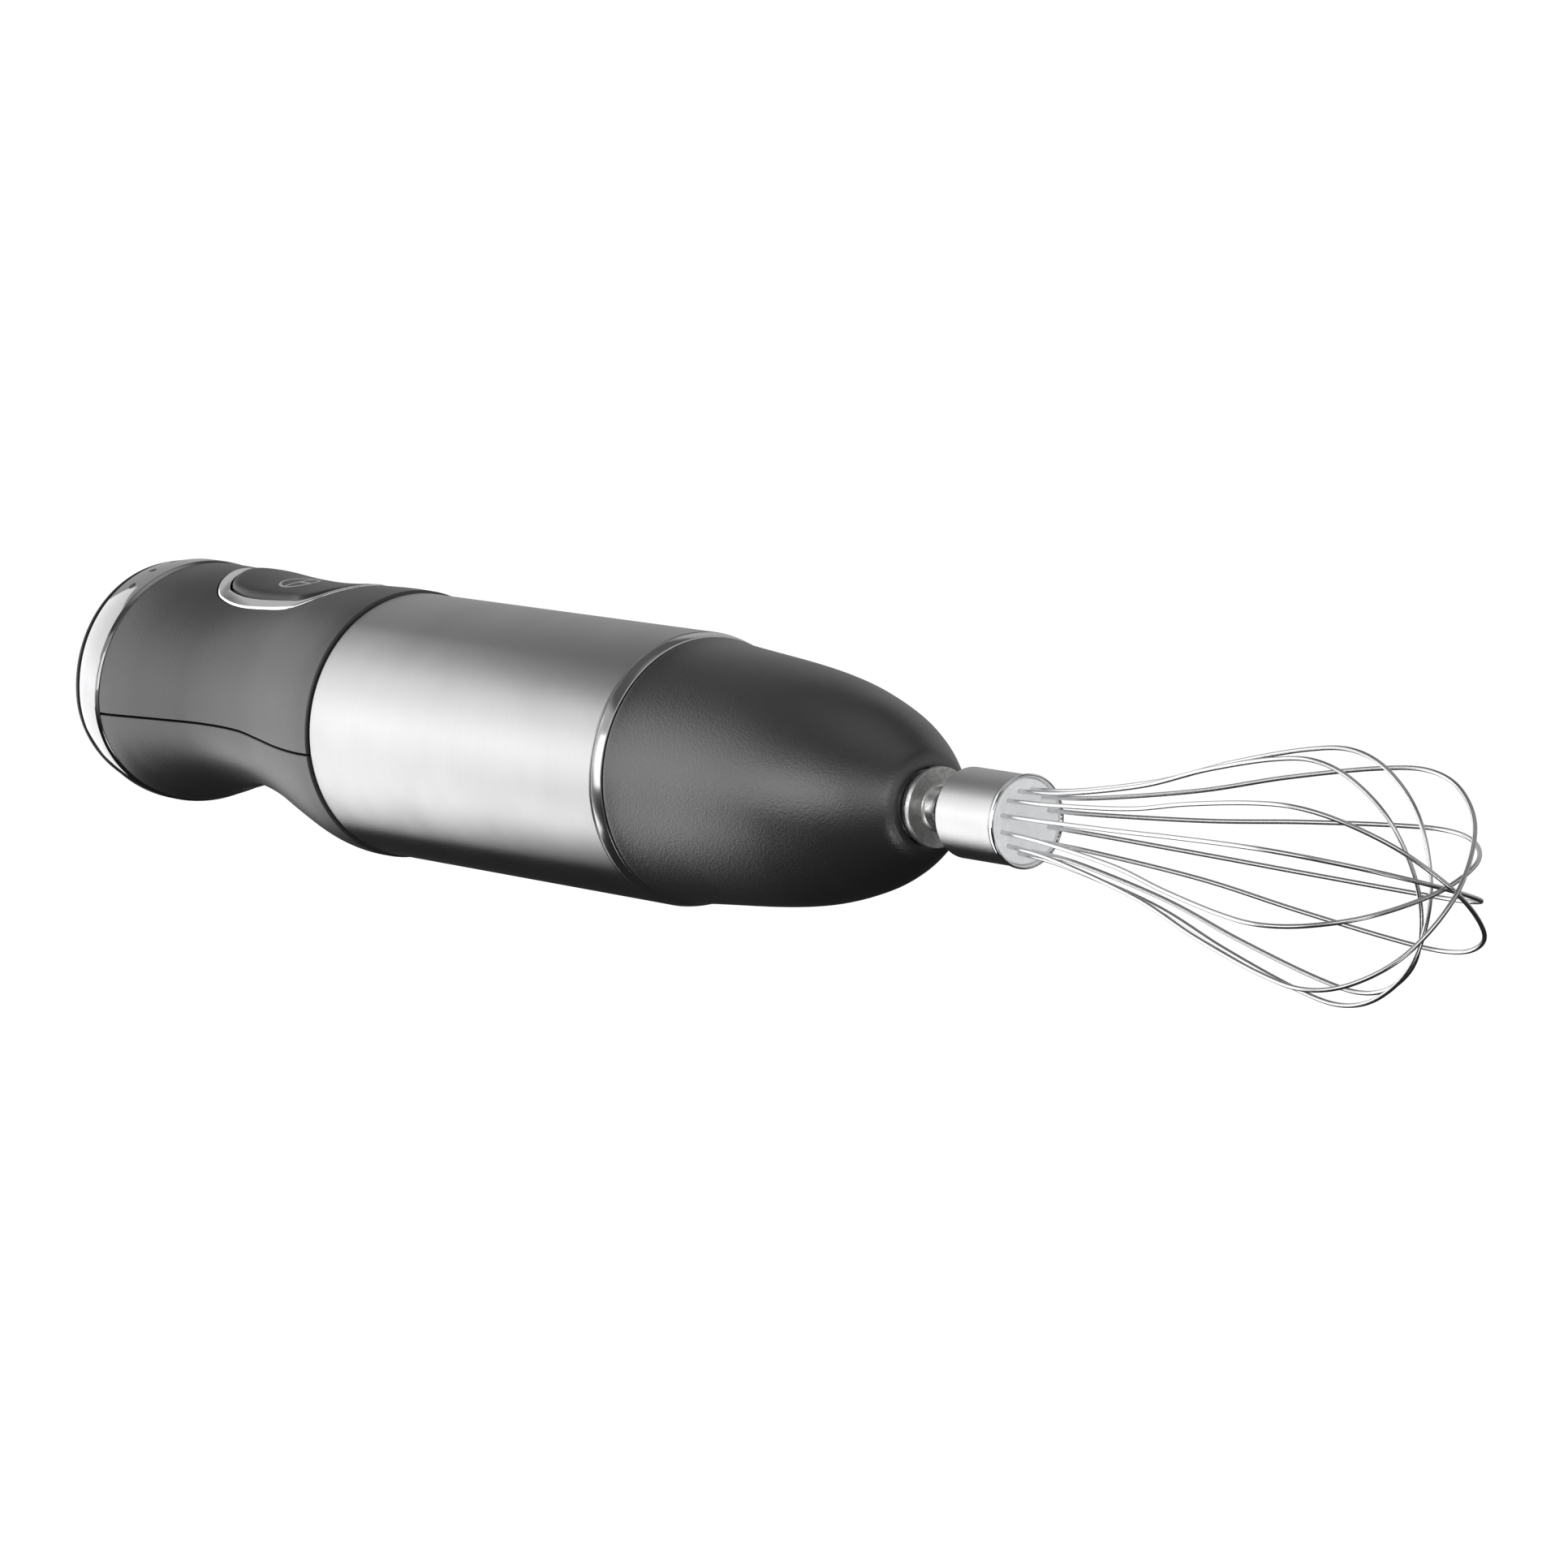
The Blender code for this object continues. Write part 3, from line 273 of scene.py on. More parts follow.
@dataclass(frozen=True)
class MouldedPlastic(Finish):
    """Plastic or rubber with a spark-eroded grain, faint clouds and rubbed spots."""

    grain: float = 0.45
    depth: float = 0.03
    clouds: float = 0.08
    sheen: float = 0.0
    specular: float = 0.5
    index: float = 1.5

    def build(self) -> bpy.types.Material:
        """Make grain as relief, and clouds as colour and roughness changes."""
        g = Graph(self.name)
        grain = g.noise(g.object_coords, 1.0 / (self.grain * MM), 2.0, 0.6)
        fine = g.noise(g.object_coords, 2.7 / (self.grain * MM), 1.0, 0.5)
        clouds = g.noise(g.object_coords, 45.0, 3.0, 0.5)
        g.tint(clouds, self.shades(self.clouds), MIDDLE)
        base = g.spread(clouds, MIDDLE, (self.roughness - 0.03, self.roughness + 0.03))
        g.feed("Roughness", g.total(base, grain, 0.04))
        g.relief(g.total(grain, fine, 0.35), 0.8, self.depth)
        g.fix(Specular_IOR_Level=self.specular, Sheen_Weight=self.sheen, Sheen_Roughness=0.45,
              IOR=self.index)
        return g.material


@dataclass(frozen=True)
class BrushedMetal(Finish):
    """Metal with fine brush marks round the drive axis."""

    pitch: float = 0.16
    narrowness: float = 0.012
    depth: float = 0.004
    stretch: float = 0.75
    change: float = 0.05

    def build(self) -> bpy.types.Material:
        """Make brush marks as relief, colour and roughness changes."""
        g = Graph(self.name)
        across = 1.0 / (self.pitch * MM)
        along = across * self.narrowness
        scale = (across, along, along)
        marks = g.noise(g.stretched(scale), 1.0, 4.0, 0.65)
        broad = g.noise(g.stretched(tuple(s * 0.12 for s in scale)), 1.0, 2.0, 0.5)
        clouds = g.noise(g.object_coords, 60.0, 3.0, 0.5)
        g.tint(g.total(marks, broad, 0.4), self.shades(self.change), (0.4, 1.0))
        base = g.spread(clouds, MIDDLE, (self.roughness - 0.02, self.roughness + 0.02))
        g.feed("Roughness", g.total(base, marks, 0.07))
        g.relief(marks, 0.35, self.depth)
        tangent = g.add("ShaderNodeTangent", direction_type="RADIAL", axis="X")
        g.link(tangent.outputs[0], g.shader.inputs["Tangent"])
        g.fix(Metallic=1.0, Anisotropic=self.stretch, Anisotropic_Rotation=0.25)
        return g.material


@dataclass(frozen=True)
class PolishedMetal(Finish):
    """Polished metal with faint wipe marks."""

    smudge: float = 0.03

    def build(self) -> bpy.types.Material:
        """Make a mirror finish whose roughness drifts."""
        g = Graph(self.name)
        wipes = g.noise(g.stretched((900.0, 160.0, 160.0)), 1.0, 3.0, 0.6)
        specks = g.noise(g.object_coords, 2600.0, 1.0, 0.5)
        g.tint(wipes, self.shades(0.03), MIDDLE)
        g.roughen(wipes, (0.3, 0.75), (self.roughness, self.roughness + self.smudge))
        g.relief(specks, 0.05, 0.002)
        g.fix(Metallic=1.0)
        return g.material


@dataclass(frozen=True)
class CastMetal(Finish):
    """Die-cast metal with a mottled, slightly dull skin."""

    mottle: float = 0.28

    def build(self) -> bpy.types.Material:
        """Make mottling in colour, roughness and relief."""
        g = Graph(self.name)
        spots = g.noise(g.object_coords, 900.0, 4.0, 0.6)
        clouds = g.noise(g.object_coords, 240.0, 2.0, 0.5)
        tone = g.total(spots, clouds, 0.5)
        g.tint(tone, self.shades(self.mottle), (0.5, 1.0))
        g.roughen(tone, (0.5, 1.0), (self.roughness + 0.1, self.roughness - 0.08))
        g.relief(spots, 0.25, 0.03)
        g.fix(Metallic=1.0)
        return g.material


@dataclass(frozen=True)
class StackedSheets(Finish):
    """Iron laminations seen on edge, as fine lines across the drive axis."""

    sheet: float = 0.5

    def build(self) -> bpy.types.Material:
        """Make one line for each sheet."""
        g = Graph(self.name)
        lines = g.bands("X", self.sheet, 0.0)
        stain = g.noise(g.object_coords, 300.0, 3.0, 0.6)
        g.tint(g.total(stain, lines, 0.3), self.shades(0.35))
        g.roughen(stain, MIDDLE, (self.roughness, self.roughness + 0.15))
        g.relief(lines, 0.6, 0.05)
        g.fix(Metallic=0.8)
        return g.material


@dataclass(frozen=True)
class WoundWire(Finish):
    """Enamelled wire laid side by side."""

    wire: float = 0.45

    def build(self) -> bpy.types.Material:
        """Make rounded turns with a lacquered gloss and painted shade in the grooves between them.
        """
        g = Graph(self.name)
        turns = g.bands("DIAGONAL", self.wire, 1.4)
        # Painted shade: the colour runs dark in the grooves between turns and light on their
        # crowns.
        g.tint(turns, self.shades(0.4))
        g.roughen(turns, (0.0, 1.0), (self.roughness + 0.2, self.roughness))
        g.relief(turns, 0.8, 0.12)
        g.fix(Metallic=0.9, Coat_Weight=0.5, Coat_Roughness=0.2)
        return g.material


@dataclass(frozen=True)
class Lacquer(Finish):
    """A circuit board's lacquer over copper tracks."""

    track: float = 2.2

    def build(self) -> bpy.types.Material:
        """Make straight-sided tracks under a glossy lacquer."""
        g = Graph(self.name)
        cells = g.add("ShaderNodeTexVoronoi", distance="CHEBYCHEV", feature="DISTANCE_TO_EDGE")
        cells.inputs["Scale"].default_value = 1.0 / (self.track * MM)
        cells.inputs["Randomness"].default_value = 0.6
        g.link(g.object_coords, cells.inputs["Vector"])
        low, high = self.shades(0.45)
        edge = g.spread(cells.outputs["Distance"], (0.06, 0.1))
        g.tint(edge, (high, low))
        g.roughen(edge, (0.0, 1.0), (self.roughness, self.roughness + 0.1))
        g.relief(edge, 0.5, 0.03)
        g.fix(Coat_Weight=0.3, Coat_Roughness=0.15)
        return g.material


@dataclass(frozen=True)
class ClearPlastic(Finish):
    """Frosted clear plastic with faint flow clouds and a painted glow."""

    through: float = 0.35
    # strength of the painted glow: emission that stands for light carried through the clear plastic
    painted_glow: float = 0.22

    def build(self) -> bpy.types.Material:
        """Make a part-clear body with a soft gloss and a painted glow that stands for light carried
        through it.
        """
        g = Graph(self.name)
        clouds = g.noise(g.object_coords, 420.0, 3.0, 0.5)
        g.tint(clouds, self.shades(0.06), MIDDLE)
        g.roughen(clouds, MIDDLE, (self.roughness, self.roughness + 0.08))
        g.relief(clouds, 0.1, 0.05)
        # The emission is painted light: the plug glows to stand for light carried through the clear
        # plastic.
        g.fix(Transmission_Weight=self.through, IOR=1.49, Specular_IOR_Level=0.5,
              Emission_Color=(0.9, 0.91, 0.92, 1.0), Emission_Strength=self.painted_glow)
        return g.material


class Finishes:
    """Every finish on the mixer."""

    grip = MouldedPlastic("soft_touch_grip", (0.028, 0.028, 0.029), 0.38, grain=0.5, depth=0.055,
                          clouds=0.06, specular=0.72, index=1.6)
    dome = MouldedPlastic("soft_touch_dome", (0.022, 0.022, 0.023), 0.35, grain=0.6, depth=0.085,
                          clouds=0.06, specular=1.0, index=1.62)
    button = MouldedPlastic("button_satin", (0.028, 0.028, 0.029), 0.36, grain=0.35, depth=0.012,
                            clouds=0.05)
    black = MouldedPlastic("black_moulding", (0.012, 0.012, 0.012), 0.42, grain=0.5, depth=0.02)
    rubber = MouldedPlastic("black_rubber", (0.014, 0.014, 0.014), 0.68, grain=0.6, depth=0.03,
                            sheen=0.2)
    white = MouldedPlastic("white_moulding", (0.62, 0.62, 0.60), 0.4, grain=0.5, depth=0.015,
                           clouds=0.03)
    print_grey = MouldedPlastic("printed_grey", (0.62, 0.62, 0.62), 0.45, grain=0.3, depth=0.006,
                                clouds=0.03)
    nylon = MouldedPlastic("natural_nylon", (0.66, 0.63, 0.53), 0.42, grain=0.7, depth=0.02,
                           clouds=0.05)
    carbon = MouldedPlastic("pressed_carbon", (0.018, 0.018, 0.019), 0.55, grain=0.25, depth=0.03,
                            clouds=0.3)
    clear = ClearPlastic("frosted_clear", (0.90, 0.91, 0.92), 0.2, through=0.2)
    sleeve = BrushedMetal("sleeve_brushed", (0.50, 0.50, 0.503), 0.27, pitch=0.12, change=0.035)
    ferrule = BrushedMetal("ferrule_satin", (0.56, 0.56, 0.56), 0.25, pitch=0.11, stretch=0.5)
    shaft = BrushedMetal("ground_shaft", (0.56, 0.56, 0.56), 0.24, pitch=0.1, stretch=0.4)
    chrome = PolishedMetal("bright_chrome", (0.84, 0.84, 0.85), 0.035)
    trim = PolishedMetal("dark_chrome", (0.42, 0.42, 0.425), 0.06)
    satin = PolishedMetal("satin_chrome", (0.66, 0.66, 0.665), 0.14)
    wire = PolishedMetal("drawn_wire", (0.68, 0.68, 0.685), 0.22, smudge=0.05)
    screw = PolishedMetal("screw_steel", (0.50, 0.50, 0.51), 0.22)
    zinc = CastMetal("cast_zinc", (0.72, 0.72, 0.71), 0.34)
    brass = CastMetal("sintered_brass", (0.72, 0.52, 0.24), 0.36, mottle=0.12)
    iron = StackedSheets("lamination_iron", (0.19, 0.19, 0.20), 0.4)
    copper = WoundWire("enamelled_copper", (0.62, 0.25, 0.10), 0.25)
    board = Lacquer("board_lacquer", (0.02, 0.13, 0.05), 0.3)


# ---- mesh making -----------------------------------------------------------------------------
def circle(radius: float, count: int, centre: Pair = (0.0, 0.0)) -> List[Pair]:
    """Points round a circle in a plane."""
    return [(centre[0] + radius * math.cos(TAU * k / count),
             centre[1] + radius * math.sin(TAU * k / count)) for k in range(count)]


def rectangle(low: Pair, high: Pair) -> List[Pair]:
    """Corners of an upright rectangle between two opposite corners."""
    return [low, (high[0], low[1]), high, (low[0], high[1])]


def smooth_curve(knots: Sequence[Sequence[float]], count: int,
                 closed: bool = False) -> List[Vector]:
    """Catmull-Rom points through knots.

    Args:
        knots: Points that the curve passes.
        count: Number of spans of the result.
        closed: Whether the curve joins its start.

    Returns:
        count points for a closed curve, or count + 1 for an open one.
    """
    points = [Vector(k) for k in knots]
    size = len(points)
    spans = size if closed else size - 1
    result = []
    for i in range(count if closed else count + 1):
        t = spans * i / count
        j = min(int(t), spans - 1)
        f = t - j
        if closed:
            p0, p1, p2, p3 = (points[(j + k) % size] for k in (-1, 0, 1, 2))
        else:
            p0, p1 = points[max(j - 1, 0)], points[j]
            p2, p3 = points[j + 1], points[min(j + 2, size - 1)]
        first = 2.0 * p1 + (p2 - p0) * f
        second = (2.0 * p0 - 5.0 * p1 + 4.0 * p2 - p3) * f * f
        third = (3.0 * p1 - p0 - 3.0 * p2 + p3) * f * f * f
        result.append(0.5 * (first + second + third))
    return result


def fillet(points: Sequence[Sequence[float]], radius: float, closed: bool = True,
           steps: int = 4) -> List[Vector]:
    """Round the corners of a poly line.

    Args:
        points: Corners; a last number beyond the second or third is not read.
        radius: Radius, cut down where a side is too short for it.
        closed: Whether the line joins its start.
        steps: Spans of each rounded corner.

    Returns:
        The rounded line's points.
    """
    corners = [Vector(p) for p in points]
    size = len(corners)
    result: List[Vector] = []
    for i, here in enumerate(corners):
        if not closed and i in (0, size - 1):
            result.append(here)
            continue
        before, after = corners[i - 1] - here, corners[(i + 1) % size] - here
        if min(before.length, after.length) < 1e-6:
            result.append(here)
            continue
        bend = math.pi - before.angle(after, math.pi)
        if bend < 0.2:
            result.append(here)
            continue
        cut = min(radius * math.tan(bend / 2.0), 0.45 * before.length, 0.45 * after.length)
        a, b = here + before.normalized() * cut, here + after.normalized() * cut
        for k in range(steps + 1):
            t = k / steps
            result.append(a * (1 - t) ** 2 + here * 2 * t * (1 - t) + b * t * t)
    return result


class Draft:
    """Points and faces in millimetres that become one finished object."""

    def __init__(self) -> None:
        """Start empty."""
        self.points: List[Vector] = []
        self.faces: List[Tuple[int, ...]] = []

    def add_rows(self, rows: Sequence[Sequence[Vector]], ring: bool = True,
                 loop: bool = False) -> "Draft":
        """Skin rows of points; a row of one point is a pole.

        Args:
            rows: Rows of equal length, or single points.
            ring: Whether each row joins its own start.
            loop: Whether the last row joins the first.

        Returns:
            This draft.
        """
        index: List[List[int]] = []
        for row in rows:
            index.append(list(range(len(self.points), len(self.points) + len(row))))
            self.points.extend(row)
        pairs = list(zip(index, index[1:]))
        if loop:
            pairs.append((index[-1], index[0]))
        for a, b in pairs:
            size = max(len(a), len(b))
            for k in range(size if ring else size - 1):
                j = (k + 1) % size
                if len(a) == 1:
                    self.faces.append((a[0], b[j], b[k]))
                elif len(b) == 1:
                    self.faces.append((a[k], a[j], b[0]))
                else:
                    self.faces.append((a[k], a[j], b[j], b[k]))
        return self

    def add_caps(self, *rows: Sequence[Vector]) -> "Draft":
        """Close each flat outline with one face."""
        for row in rows:
            start = len(self.points)
            self.points.extend(row)
            self.faces.append(tuple(range(start, start + len(row))))
        return self

    def revolve(self, profile: Sequence[Sequence[float]], segments: int = 144,
                centre: Pair = (0.0, 0.0), loop: bool = True) -> "Draft":
        """Turn a profile of (x, radius) points about a line along X.

        Args:
            profile: The section.
            segments: Spans round the axis.
            centre: Y and Z of the line.
            loop: Whether the section joins its start.

        Returns:
            This draft.
        """
        rows = []
        for x, r in profile:
            if r < ON_AXIS:
                rows.append([Vector((x, *centre))])
            else:
                rows.append([Vector((x, y, z)) for y, z in circle(r, segments, centre)])
        closed_by_poles = len(rows[0]) == 1 and len(rows[-1]) == 1
        return self.add_rows(rows, loop=loop and not closed_by_poles)

    def extrude(self, outline: Sequence[Sequence[float]], low: float, high: float,
                axis: str = "X") -> "Draft":
        """Add a prism.

        Args:
            outline: Corners in the plane across the axis.
            low: Its start along the axis.
            high: Its end along the axis.
            axis: "X" for outlines of (y, z), or "Z" for outlines of (x, y).

        Returns:
            This draft.
        """
        rows = []
        for level in (low, high):
            rows.append([Vector((level, a, b)) if axis == "X" else Vector((a, b, level))
                         for a, b in outline])
        return self.add_rows(rows).add_caps(*rows)

    def mesh(self, name: str, sharp: float = 32.0) -> bpy.types.Mesh:
        """Turn the draft into a mesh in metres with faces outward.

        Args:
            name: Name of the mesh.
            sharp: Angle from which an edge shades sharp, degrees.

        Returns:
            The mesh.
        """
        mesh = bpy.data.meshes.new(name)
        mesh.from_pydata([p * MM for p in self.points], [], self.faces)
        bm = bmesh.new()
        bm.from_mesh(mesh)
        bmesh.ops.remove_doubles(bm, verts=bm.verts, dist=1e-7)
        bmesh.ops.dissolve_degenerate(bm, edges=bm.edges, dist=1e-8)
        bmesh.ops.recalc_face_normals(bm, faces=bm.faces)
        bm.to_mesh(mesh)
        bm.free()
        shade(mesh, sharp)
        return mesh

    def piece(self, name: str, sharp: float = 32.0) -> bpy.types.Object:
        """Turn the draft into an object in the scene."""
        return new_object(name, self.mesh(name, sharp))


def shade(mesh: bpy.types.Mesh, sharp: float) -> None:
    """Shade a mesh smooth, with edges sharper than an angle kept crisp."""
    mesh.polygons.foreach_set("use_smooth", [True] * len(mesh.polygons))
    mesh.set_sharp_from_angle(angle=math.radians(sharp))


def carve(obj: bpy.types.Object, cutter: Draft, operation: str = "DIFFERENCE",
          sharp: float = 32.0) -> None:
    """Apply an exact Boolean to a piece.

    Args:
        obj: The piece.
        cutter: Draft of the other solid.
        operation: "DIFFERENCE" or "UNION".
        sharp: Angle from which an edge shades sharp afterwards, degrees.
    """
    tool = cutter.piece(obj.name + "_tool")
    modifier = obj.modifiers.new("carve", "BOOLEAN")
    modifier.operation = operation
    modifier.solver = "EXACT"
    modifier.object = tool
    bake(obj)
    old = tool.data
    bpy.data.objects.remove(tool)
    bpy.data.meshes.remove(old)
    shade(obj.data, sharp)


def bake(obj: bpy.types.Object) -> None:
    """Replace an object's mesh by its evaluated one and drop its modifiers."""
    graph = bpy.context.evaluated_depsgraph_get()
    mesh = bpy.data.meshes.new_from_object(obj.evaluated_get(graph), depsgraph=graph)
    old = obj.data
    obj.modifiers.clear()
    obj.data = mesh
    mesh.name = obj.name
    if old.users == 0:
        bpy.data.meshes.remove(old)


# ---- geometry node trees ---------------------------------------------------------------------
class NodeTool(Tree):
    """A geometry node tree with named inputs that is run once on a piece."""

    def __init__(self, name: str, inputs: Sequence[Tuple[str, str]]) -> None:
        """Start a tree.

        Args:
            name: Name of the tree.
            inputs: Name and socket type of each input after the geometry.
        """
        super().__init__(bpy.data.node_groups.new(name, "GeometryNodeTree"))
        face = self.tree.interface
        face.new_socket(name="Geometry", in_out="INPUT", socket_type="NodeSocketGeometry")
        for title, kind in inputs:
            face.new_socket(name=title, in_out="INPUT", socket_type=kind)
        face.new_socket(name="Geometry", in_out="OUTPUT", socket_type="NodeSocketGeometry")
        self.given = self.add("NodeGroupInput").outputs
        self.wire_up()

    def close(self, geometry: bpy.types.NodeSocket) -> None:
        """End the tree in Realize Instances and Set Material."""
        realize = self.add("GeometryNodeRealizeInstances")
        paint = self.add("GeometryNodeSetMaterial")
        self.link(geometry, realize.inputs[0])
        self.link(realize.outputs[0], paint.inputs["Geometry"])
        self.link(self.given["Material"], paint.inputs["Material"])
        self.link(paint.outputs[0], self.add("NodeGroupOutput").inputs[0])

    def wire_up(self) -> None:
        """Lay out the tree's nodes."""
        raise NotImplementedError

    def run(self, obj: bpy.types.Object, finish: Finish, **values: object) -> bpy.types.Object:
        """Run the tree on a piece and leave a plain mesh.

        Args:
            obj: The piece.
            finish: Finish of the result.
            values: Inputs by name; underscores stand for spaces.

        Returns:
            The piece.
        """
        modifier = obj.modifiers.new(self.tree.name, "NODES")
        modifier.node_group = self.tree
        wanted = {key.replace("_", " "): value for key, value in values.items()}
        wanted["Material"] = finish.material()
        for item in self.tree.interface.items_tree:
            if item.item_type == "SOCKET" and item.in_out == "INPUT" and item.name in wanted:
                modifier[item.identifier] = wanted[item.name]
        bake(obj)
        return obj


class RepeatTool(NodeTool):
    """Repeats a piece by turning it about X and moving it a step each time."""

    def __init__(self) -> None:
        """Name the inputs."""
        super().__init__("repeat_about_axis", (
            ("Count", "NodeSocketInt"), ("First Turn", "NodeSocketFloat"),
            ("Turn", "NodeSocketFloat"), ("Shift", "NodeSocketVector"),
            ("Centre", "NodeSocketVector"), ("Material", "NodeSocketMaterial")))

    def wire_up(self) -> None:
        """Place one instance of the input on each point."""
        index = self.add("GeometryNodeInputIndex").outputs[0]
        step = self.add("ShaderNodeVectorMath", operation="MULTIPLY_ADD")
        self.link(index, step.inputs[0])
        self.link(self.given["Shift"], step.inputs[1])
        self.link(self.given["Centre"], step.inputs[2])
        points = self.add("GeometryNodePoints")
        self.link(self.given["Count"], points.inputs["Count"])
        self.link(step.outputs[0], points.inputs["Position"])
        turn = self.add("ShaderNodeMath", operation="MULTIPLY_ADD")
        self.link(index, turn.inputs[0])
        self.link(self.given["Turn"], turn.inputs[1])
        self.link(self.given["First Turn"], turn.inputs[2])
        angles = self.add("ShaderNodeCombineXYZ")
        self.link(turn.outputs[0], angles.inputs[0])
        copies = self.add("GeometryNodeInstanceOnPoints")
        self.link(points.outputs[0], copies.inputs["Points"])
        self.link(self.given["Geometry"], copies.inputs["Instance"])
        self.link(angles.outputs[0], copies.inputs["Rotation"])
        self.close(copies.outputs[0])


class WireTool(NodeTool):
    """Sweeps a round section along the piece's edges."""

    def __init__(self) -> None:
        """Name the inputs."""
        super().__init__("wire_along_path", (
            ("Radius", "NodeSocketFloat"), ("Sides", "NodeSocketInt"),
            ("Material", "NodeSocketMaterial")))

    def wire_up(self) -> None:
        """Sweep a circle along the path and close its ends."""
        path = self.add("GeometryNodeMeshToCurve")
        self.link(self.given["Geometry"], path.inputs[0])
        section = self.add("GeometryNodeCurvePrimitiveCircle", mode="RADIUS")
        self.link(self.given["Radius"], section.inputs["Radius"])
        self.link(self.given["Sides"], section.inputs["Resolution"])
        sweep = self.add("GeometryNodeCurveToMesh")
        self.link(path.outputs[0], sweep.inputs[0])
        self.link(section.outputs[0], sweep.inputs[1])
        sweep.inputs["Fill Caps"].default_value = True
        smooth = self.add("GeometryNodeSetShadeSmooth")
        self.link(sweep.outputs[0], smooth.inputs[0])
        self.close(smooth.outputs[0])


def path_object(name: str, points: Sequence[Vector], closed: bool = False) -> bpy.types.Object:
    """An object of edges only, along points in millimetres."""
    edges = [(i, i + 1) for i in range(len(points) - 1)]
    if closed:
        edges.append((len(points) - 1, 0))
    mesh = bpy.data.meshes.new(name)
    mesh.from_pydata([Vector(p) * MM for p in points], edges, [])
    return new_object(name, mesh)


def place(obj: bpy.types.Object, body: Body, slot: Slot, *nodes: str,
          finish: Optional[Finish] = None) -> None:
    """Hand a piece to the frame.

    Args:
        obj: The piece.
        body: Body that it rides on.
        slot: Record slot of its finish; not used.
        nodes: CAD nodes that it stands for.
        finish: Finish to give it, if it has none yet.
    """
    if finish:
        finish.dress(obj)
    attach(obj, body.value)
    if nodes:
        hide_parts(*nodes)
    LOG.info("%s rides on %s", obj.name, body.value)


# ---- grip ------------------------------------------------------------------------------------
@dataclass(frozen=True)
class GripForm:
    """The grip's oval skin: its stations along the axis and the joint between its halves."""

    # station x, top height, belly depth, half width
    stations: Tuple[Tuple[float, float, float, float], ...] = (
        (-96.0, 31.0, 25.5, 32.0), (-85.0, 31.6, 26.4, 32.6), (-76.0, 31.6, 24.0, 32.2),
        (-66.0, 31.1, 21.4, 31.2), (-58.0, 30.5, 19.9, 30.3), (-51.0, 30.1, 19.5, 29.5),
        (-44.0, 29.9, 19.9, 29.1), (-36.0, 30.1, 21.3, 29.0), (-28.0, 30.6, 23.8, 29.2),
        (-20.0, 31.3, 27.4, 29.9), (-12.0, 31.6, 30.4, 30.8), (-6.0, 31.7, 31.5, 31.3),
        (0.0, 31.6, 31.6, 31.5))
    joint: Tuple[Pair, ...] = (
        (-96.0, -3.0), (-85.0, -3.0), (-66.0, -2.5), (-45.0, -2.1), (-32.0, -2.4),
        (-24.0, -3.4), (-15.0, -4.5), (-6.0, -5.0), (0.0, -5.0))

    def look_up(self, table: Sequence[Sequence[float]], x: float, column: int = 1) -> float:
        """Read a table between its stations with an even slope.

        Args:
            table: Rows that start with x.
            x: Station along the axis.
            column: Column to read.

        Returns:
            The value at x.
        """
        if x <= table[0][0]:
            return table[0][column]
        for i in range(len(table) - 1):
            a, b = table[i], table[i + 1]
            if x <= b[0]:
                before, after = table[max(i - 1, 0)], table[min(i + 2, len(table) - 1)]
                h = b[0] - a[0]
                m0 = (b[column] - before[column]) / (b[0] - before[0])
                m1 = (after[column] - a[column]) / (after[0] - a[0])
                t = (x - a[0]) / h
                return ((2 * t ** 3 - 3 * t ** 2 + 1) * a[column]
                        + (t ** 3 - 2 * t ** 2 + t) * h * m0
                        + (-2 * t ** 3 + 3 * t ** 2) * b[column]
                        + (t ** 3 - t ** 2) * h * m1)
        return table[-1][column]

    def skin(self, x: float, angle: float, inset: float = 0.0, tilt: float = 0.0) -> Vector:
        """A point on the skin, inset from its outside, with x moved by tilt times height."""
        top = self.look_up(self.stations, x, 1) - inset
        low = self.look_up(self.stations, x, 2) - inset
        wide = self.look_up(self.stations, x, 3) - inset
        z = (top if math.sin(angle) >= 0.0 else low) * math.sin(angle)
        return Vector((x + tilt * z, wide * math.cos(angle), z))

    def roof(self, x: float, y: float, lift: float) -> Vector:
        """A point over the top of the skin."""
        wide = self.look_up(self.stations, x, 3)
        top = self.look_up(self.stations, x, 1) + lift
        return Vector((x, y, top * math.sqrt(max(0.0, 1.0 - (y / wide) ** 2))))

    def joint_height(self, x: float) -> float:
        """Height of the joint between the halves."""
        return self.look_up(self.joint, x)

    def joint_angle(self, x: float, inset: float, height: float) -> float:
        """Angle on the +Y side at which the skin reaches a height."""
        size = self.look_up(self.stations, x, 1 if height >= 0.0 else 2) - inset
        return math.asin(max(-0.98, min(0.98, height / size)))


def eased(distance: float, radius: float) -> float:
    """How far a rounded edge falls back at a distance from the edge."""
    if distance >= radius:
        return 0.0
    return radius - math.sqrt(max(0.0, radius * radius - (radius - distance) ** 2))


